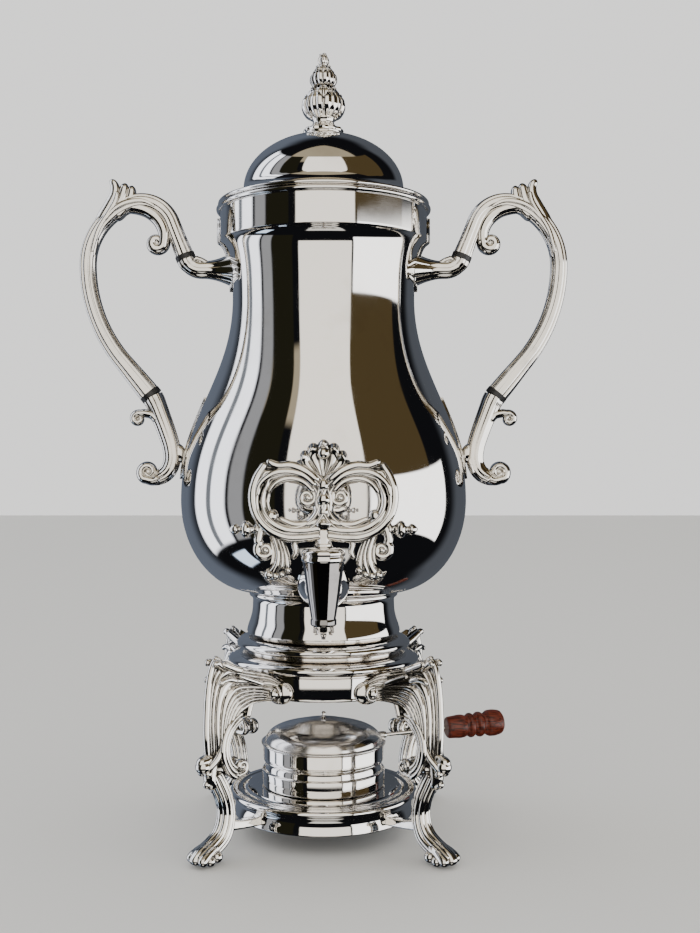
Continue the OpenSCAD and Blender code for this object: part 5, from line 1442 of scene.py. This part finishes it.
    def lower(self) -> list[Sheet]:
        """Lower socket: stem, C-curl with its two volutes, and the spear leaf on the belly.

        Returns:
            Castings of the right lower socket.
        """
        line = spline([self.stem, (97.6, 247.2), (94.6, 239.6), (91.2, 230.4), (88.6, 221.6),
                       (88.2, 213.8), (91, 207.4), (96.4, 203.9), (101.4, 203.3)], 260)
        size = np.interp(np.linspace(0, 1, 90), [0, 0.04, 0.12, 0.3, 0.6, 0.85, 1],
                         [6.3, 6.3, 5.9, 5.6, 5.2, 4.9, 3.8])
        low = curl([(94, 204.6), (99.4, 202.4), (103.6, 203.4)], 14, 101.9, 207.4, 4.7, 1.1, -60, 400, 60)
        high = curl([(95.6, 236), (99.6, 240.4), (105, 241.6)], 14, 107.8, 238.2, 3.2, 0.9, 110, -330, 50)
        return [loft(in_plane(even(line, 90)), size, fluted_round(60, 3.5, 0.14), -SIDEWAYS, rounded=False),
                rib(in_plane(low), 3.4, 2.7, 1.5, 80, oval(20, 1.9)), ball(101.9, 0, 207.4, 2.8),
                rib(in_plane(high), 2.8, 2.4, 1.3, 80, oval(20, 1.8)), ball(107.8, 0, 238.2, 1.9),
                rib(in_plane([(80.4, 220), (84, 218.6), (90, 219)]), 3.4, 3.6, 3.0, 30, oval(20, 1.0, 1.7)),
                body_leaf([(203.2, 0.4), (206, 3.6), (211, 6.8), (216, 7.9), (220.6, 6.4), (224.6, 7.0),
                           (230, 5.2), (236, 4.4), (243, 2.8), (250.8, 0.4)])]


def body_leaf(outline: Points, lift: float = 2.0) -> Sheet:
    """Leaf that lies on the body towards +X, from its outline (height, half width).

    At a place s from -1 to 1 across it, it stands off the body by lift sqrt(1 - s s) times
    ridges of the phase 3 pi s, which run from tip to tip.

    Args:
        outline: Heights and half widths from its lower to its upper tip.
        lift: Greatest thickness.
    Returns:
        The leaf.
    """
    z, w = (line[:, None] for line in spline(outline, 90).T)
    s, front = round_trip(-1, 1, 44)
    dome = np.sqrt(np.clip(1 - s * s, 0.02, 1))
    off = np.where(front, lift * dome * (0.62 + 0.38 * ridges(3 * math.pi * s)), 0.08)
    r, y = UrnBody().radius(z) + off, s * np.maximum(w, 0.3)
    return Sheet(np.stack(np.broadcast_arrays(np.sqrt(r * r - y * y), y, z), axis=-1))


# ------------------------------------------------------------------ room, floor and camera
@dataclass(frozen=True)
class Panel:
    """A soft-edged patch of the room's light, by its direction.

    Attributes:
        colour: Colour of the patch.
        level: Brightness.
        turn: First and last azimuth in degrees, 0 in front and positive to the right.
        rise: Lowest and highest elevation in degrees.
        soft: Width of the edges in degrees.
    """

    colour: str
    level: float
    turn: tuple[float, float]
    rise: tuple[float, float]
    soft: float


@dataclass
class Studio:
    """The pale floor, the light of the room and the camera."""

    distance: float = 670.0
    height: float = 212.5
    lens: float = 44.4
    shift: tuple[float, float] = (0.0284, -0.00375)
    floor_half: float = 4.0
    panels: tuple[Panel, ...] = (
        Panel("#8C97AB", 0.5, (-180, -130), (-50, 60), 22),
        Panel("#9AA2B0", 0.26, (126, 180), (-40, 55), 16),
        Panel("#B7AB92", 0.95, (-66, 66), (40, 90), 6),
        Panel("#F4EFE6", 1.85, (-30, 34), (-16.5, 54), 2),
        Panel("#FFFFFF", 2.9, (36.5, 112), (-24, 12), 1.5),
        Panel("#7A6846", 0.42, (34, 95), (12, 54), 2),
        Panel("#4C4A38", 0.22, (-65, -38), (-30, 54), 2),
        Panel("#A9ABB0", 0.9, (-80, -66), (-30, 54), 3),
        Panel("#EEF3FF", 2.6, (-122, -84), (-30, 54), 4),
        Panel("#8E959F", 0.8, (-106, -100), (-30, 54), 2),
        Panel("#CFE4FF", 1.9, (-100, -80), (-52, -38), 2),
        Panel("#F4F1EA", 1.1, (-24, 30), (-75, -46), 4),
    )

    def build(self) -> None:
        """Makes the world, the floor and the camera."""
        self.world()
        self.floor()
        camera = bpy.data.cameras.new("camera")
        camera.lens = self.lens
        camera.sensor_width = 36.0
        camera.sensor_fit = "AUTO"
        camera.shift_x, camera.shift_y = self.shift
        camera.clip_start, camera.clip_end = 0.05, 50.0
        seen = bpy.data.objects.new("camera", camera)
        seen.location = (0.0, -self.distance * MM, self.height * MM)
        seen.rotation_euler = (math.pi / 2, 0.0, 0.0)
        bpy.context.scene.collection.objects.link(seen)
        bpy.context.scene.camera = seen

    def world(self) -> None:
        """Light by direction: azimuth atan2(x, -y) and elevation asin(z), patch over patch."""
        room = bpy.data.worlds.new("room")
        bpy.context.scene.world = room
        tree = empty_tree(room)
        way = add(tree, "SeparateXYZ", (add(tree, "TexCoord").outputs["Generated"],)).outputs
        front = add(tree, "Math", (way["Y"], -1.0), operation="MULTIPLY")
        turn = add(tree, "Math", (way["X"], front), operation="ARCTAN2")
        rise = add(tree, "Math", (way["Z"],), operation="ARCSINE")
        turn, rise = (add(tree, "Math", (angle,), operation="DEGREES") for angle in (turn, rise))
        colour: Any = linear("#1B1C20", 0.6)
        for panel in self.panels:
            inside: Any = 1.0
            for value, (low, high) in ((turn, panel.turn), (rise, panel.rise)):
                for edge, start in ((low, 0.0), (high, 1.0)):
                    step = (value, edge - panel.soft / 2, edge + panel.soft / 2, start, 1.0 - start)
                    ramp = add(tree, "MapRange", step, **SMOOTH)
                    inside = add(tree, "Math", (inside, ramp), operation="MULTIPLY")
            colour = add(tree, "Mix", (inside, colour, linear(panel.colour, panel.level)), **COLOURS)
        ray = add(tree, "LightPath").outputs
        # the camera sees a plain pale room, and matt surfaces are lit by it
        for kind, pale in (("Is Camera Ray", (1.3, 1.29, 1.27, 1.0)),
                           ("Is Diffuse Ray", (1.35, 1.34, 1.32, 1.0))):
            colour = add(tree, "Mix", (ray[kind], colour, pale), **COLOURS)
        light = add(tree, "Background", {"Color": colour, "Strength": 1.0})
        add(tree, "OutputWorld", {"Surface": light})

    def floor(self) -> None:
        """A plain pale floor; polished silver looks through it into the darker lower room."""
        made = bpy.data.materials.new("floor_matt_paint")
        tree = empty_tree(made)
        paint = add(tree, "BsdfPrincipled", {"Base Color": linear("#D9D8D4"), "Roughness": 0.5})
        clear = add(tree, "BsdfTransparent", {"Color": (1.0, 1.0, 1.0, 1.0)})
        glossy = add(tree, "LightPath").outputs["Is Glossy Ray"]
        add(tree, "OutputMaterial", {"Surface": add(tree, "MixShader", (glossy, paint, clear))})
        mesh = bpy.data.meshes.new("floor")
        s = self.floor_half
        mesh.from_pydata([(-s, -s, 0), (s, -s, 0), (s, s, 0), (-s, s, 0)], [], [(0, 1, 2, 3)])
        mesh.materials.append(made)
        floor = bpy.data.objects.new("floor", mesh)
        bpy.context.scene.collection.objects.link(floor)


def dress_frame() -> None:
    """Gives every CAD node the finish of its slot."""
    for name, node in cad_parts.items():
        for place in node.material_slots:
            for finish in FRAME_FINISHES:
                if place.material and finish.slot in place.material.name:
                    place.material = finish.material()
        log.info("frame node %s: %s", name, [s.material.name for s in node.material_slots if s.material])


def main() -> None:
    """Builds the urn's looks, then the room round it."""
    logging.basicConfig(level=logging.INFO, format="%(name)s %(message)s")
    dress_frame()
    for maker in (UrnBody(), Lid(), Stand(), Burner(), Tap(), TapKey(), Handle(Side.LEFT),
                  Handle(Side.RIGHT), Studio()):
        maker.build()


if __name__ == "__main__":
    main()
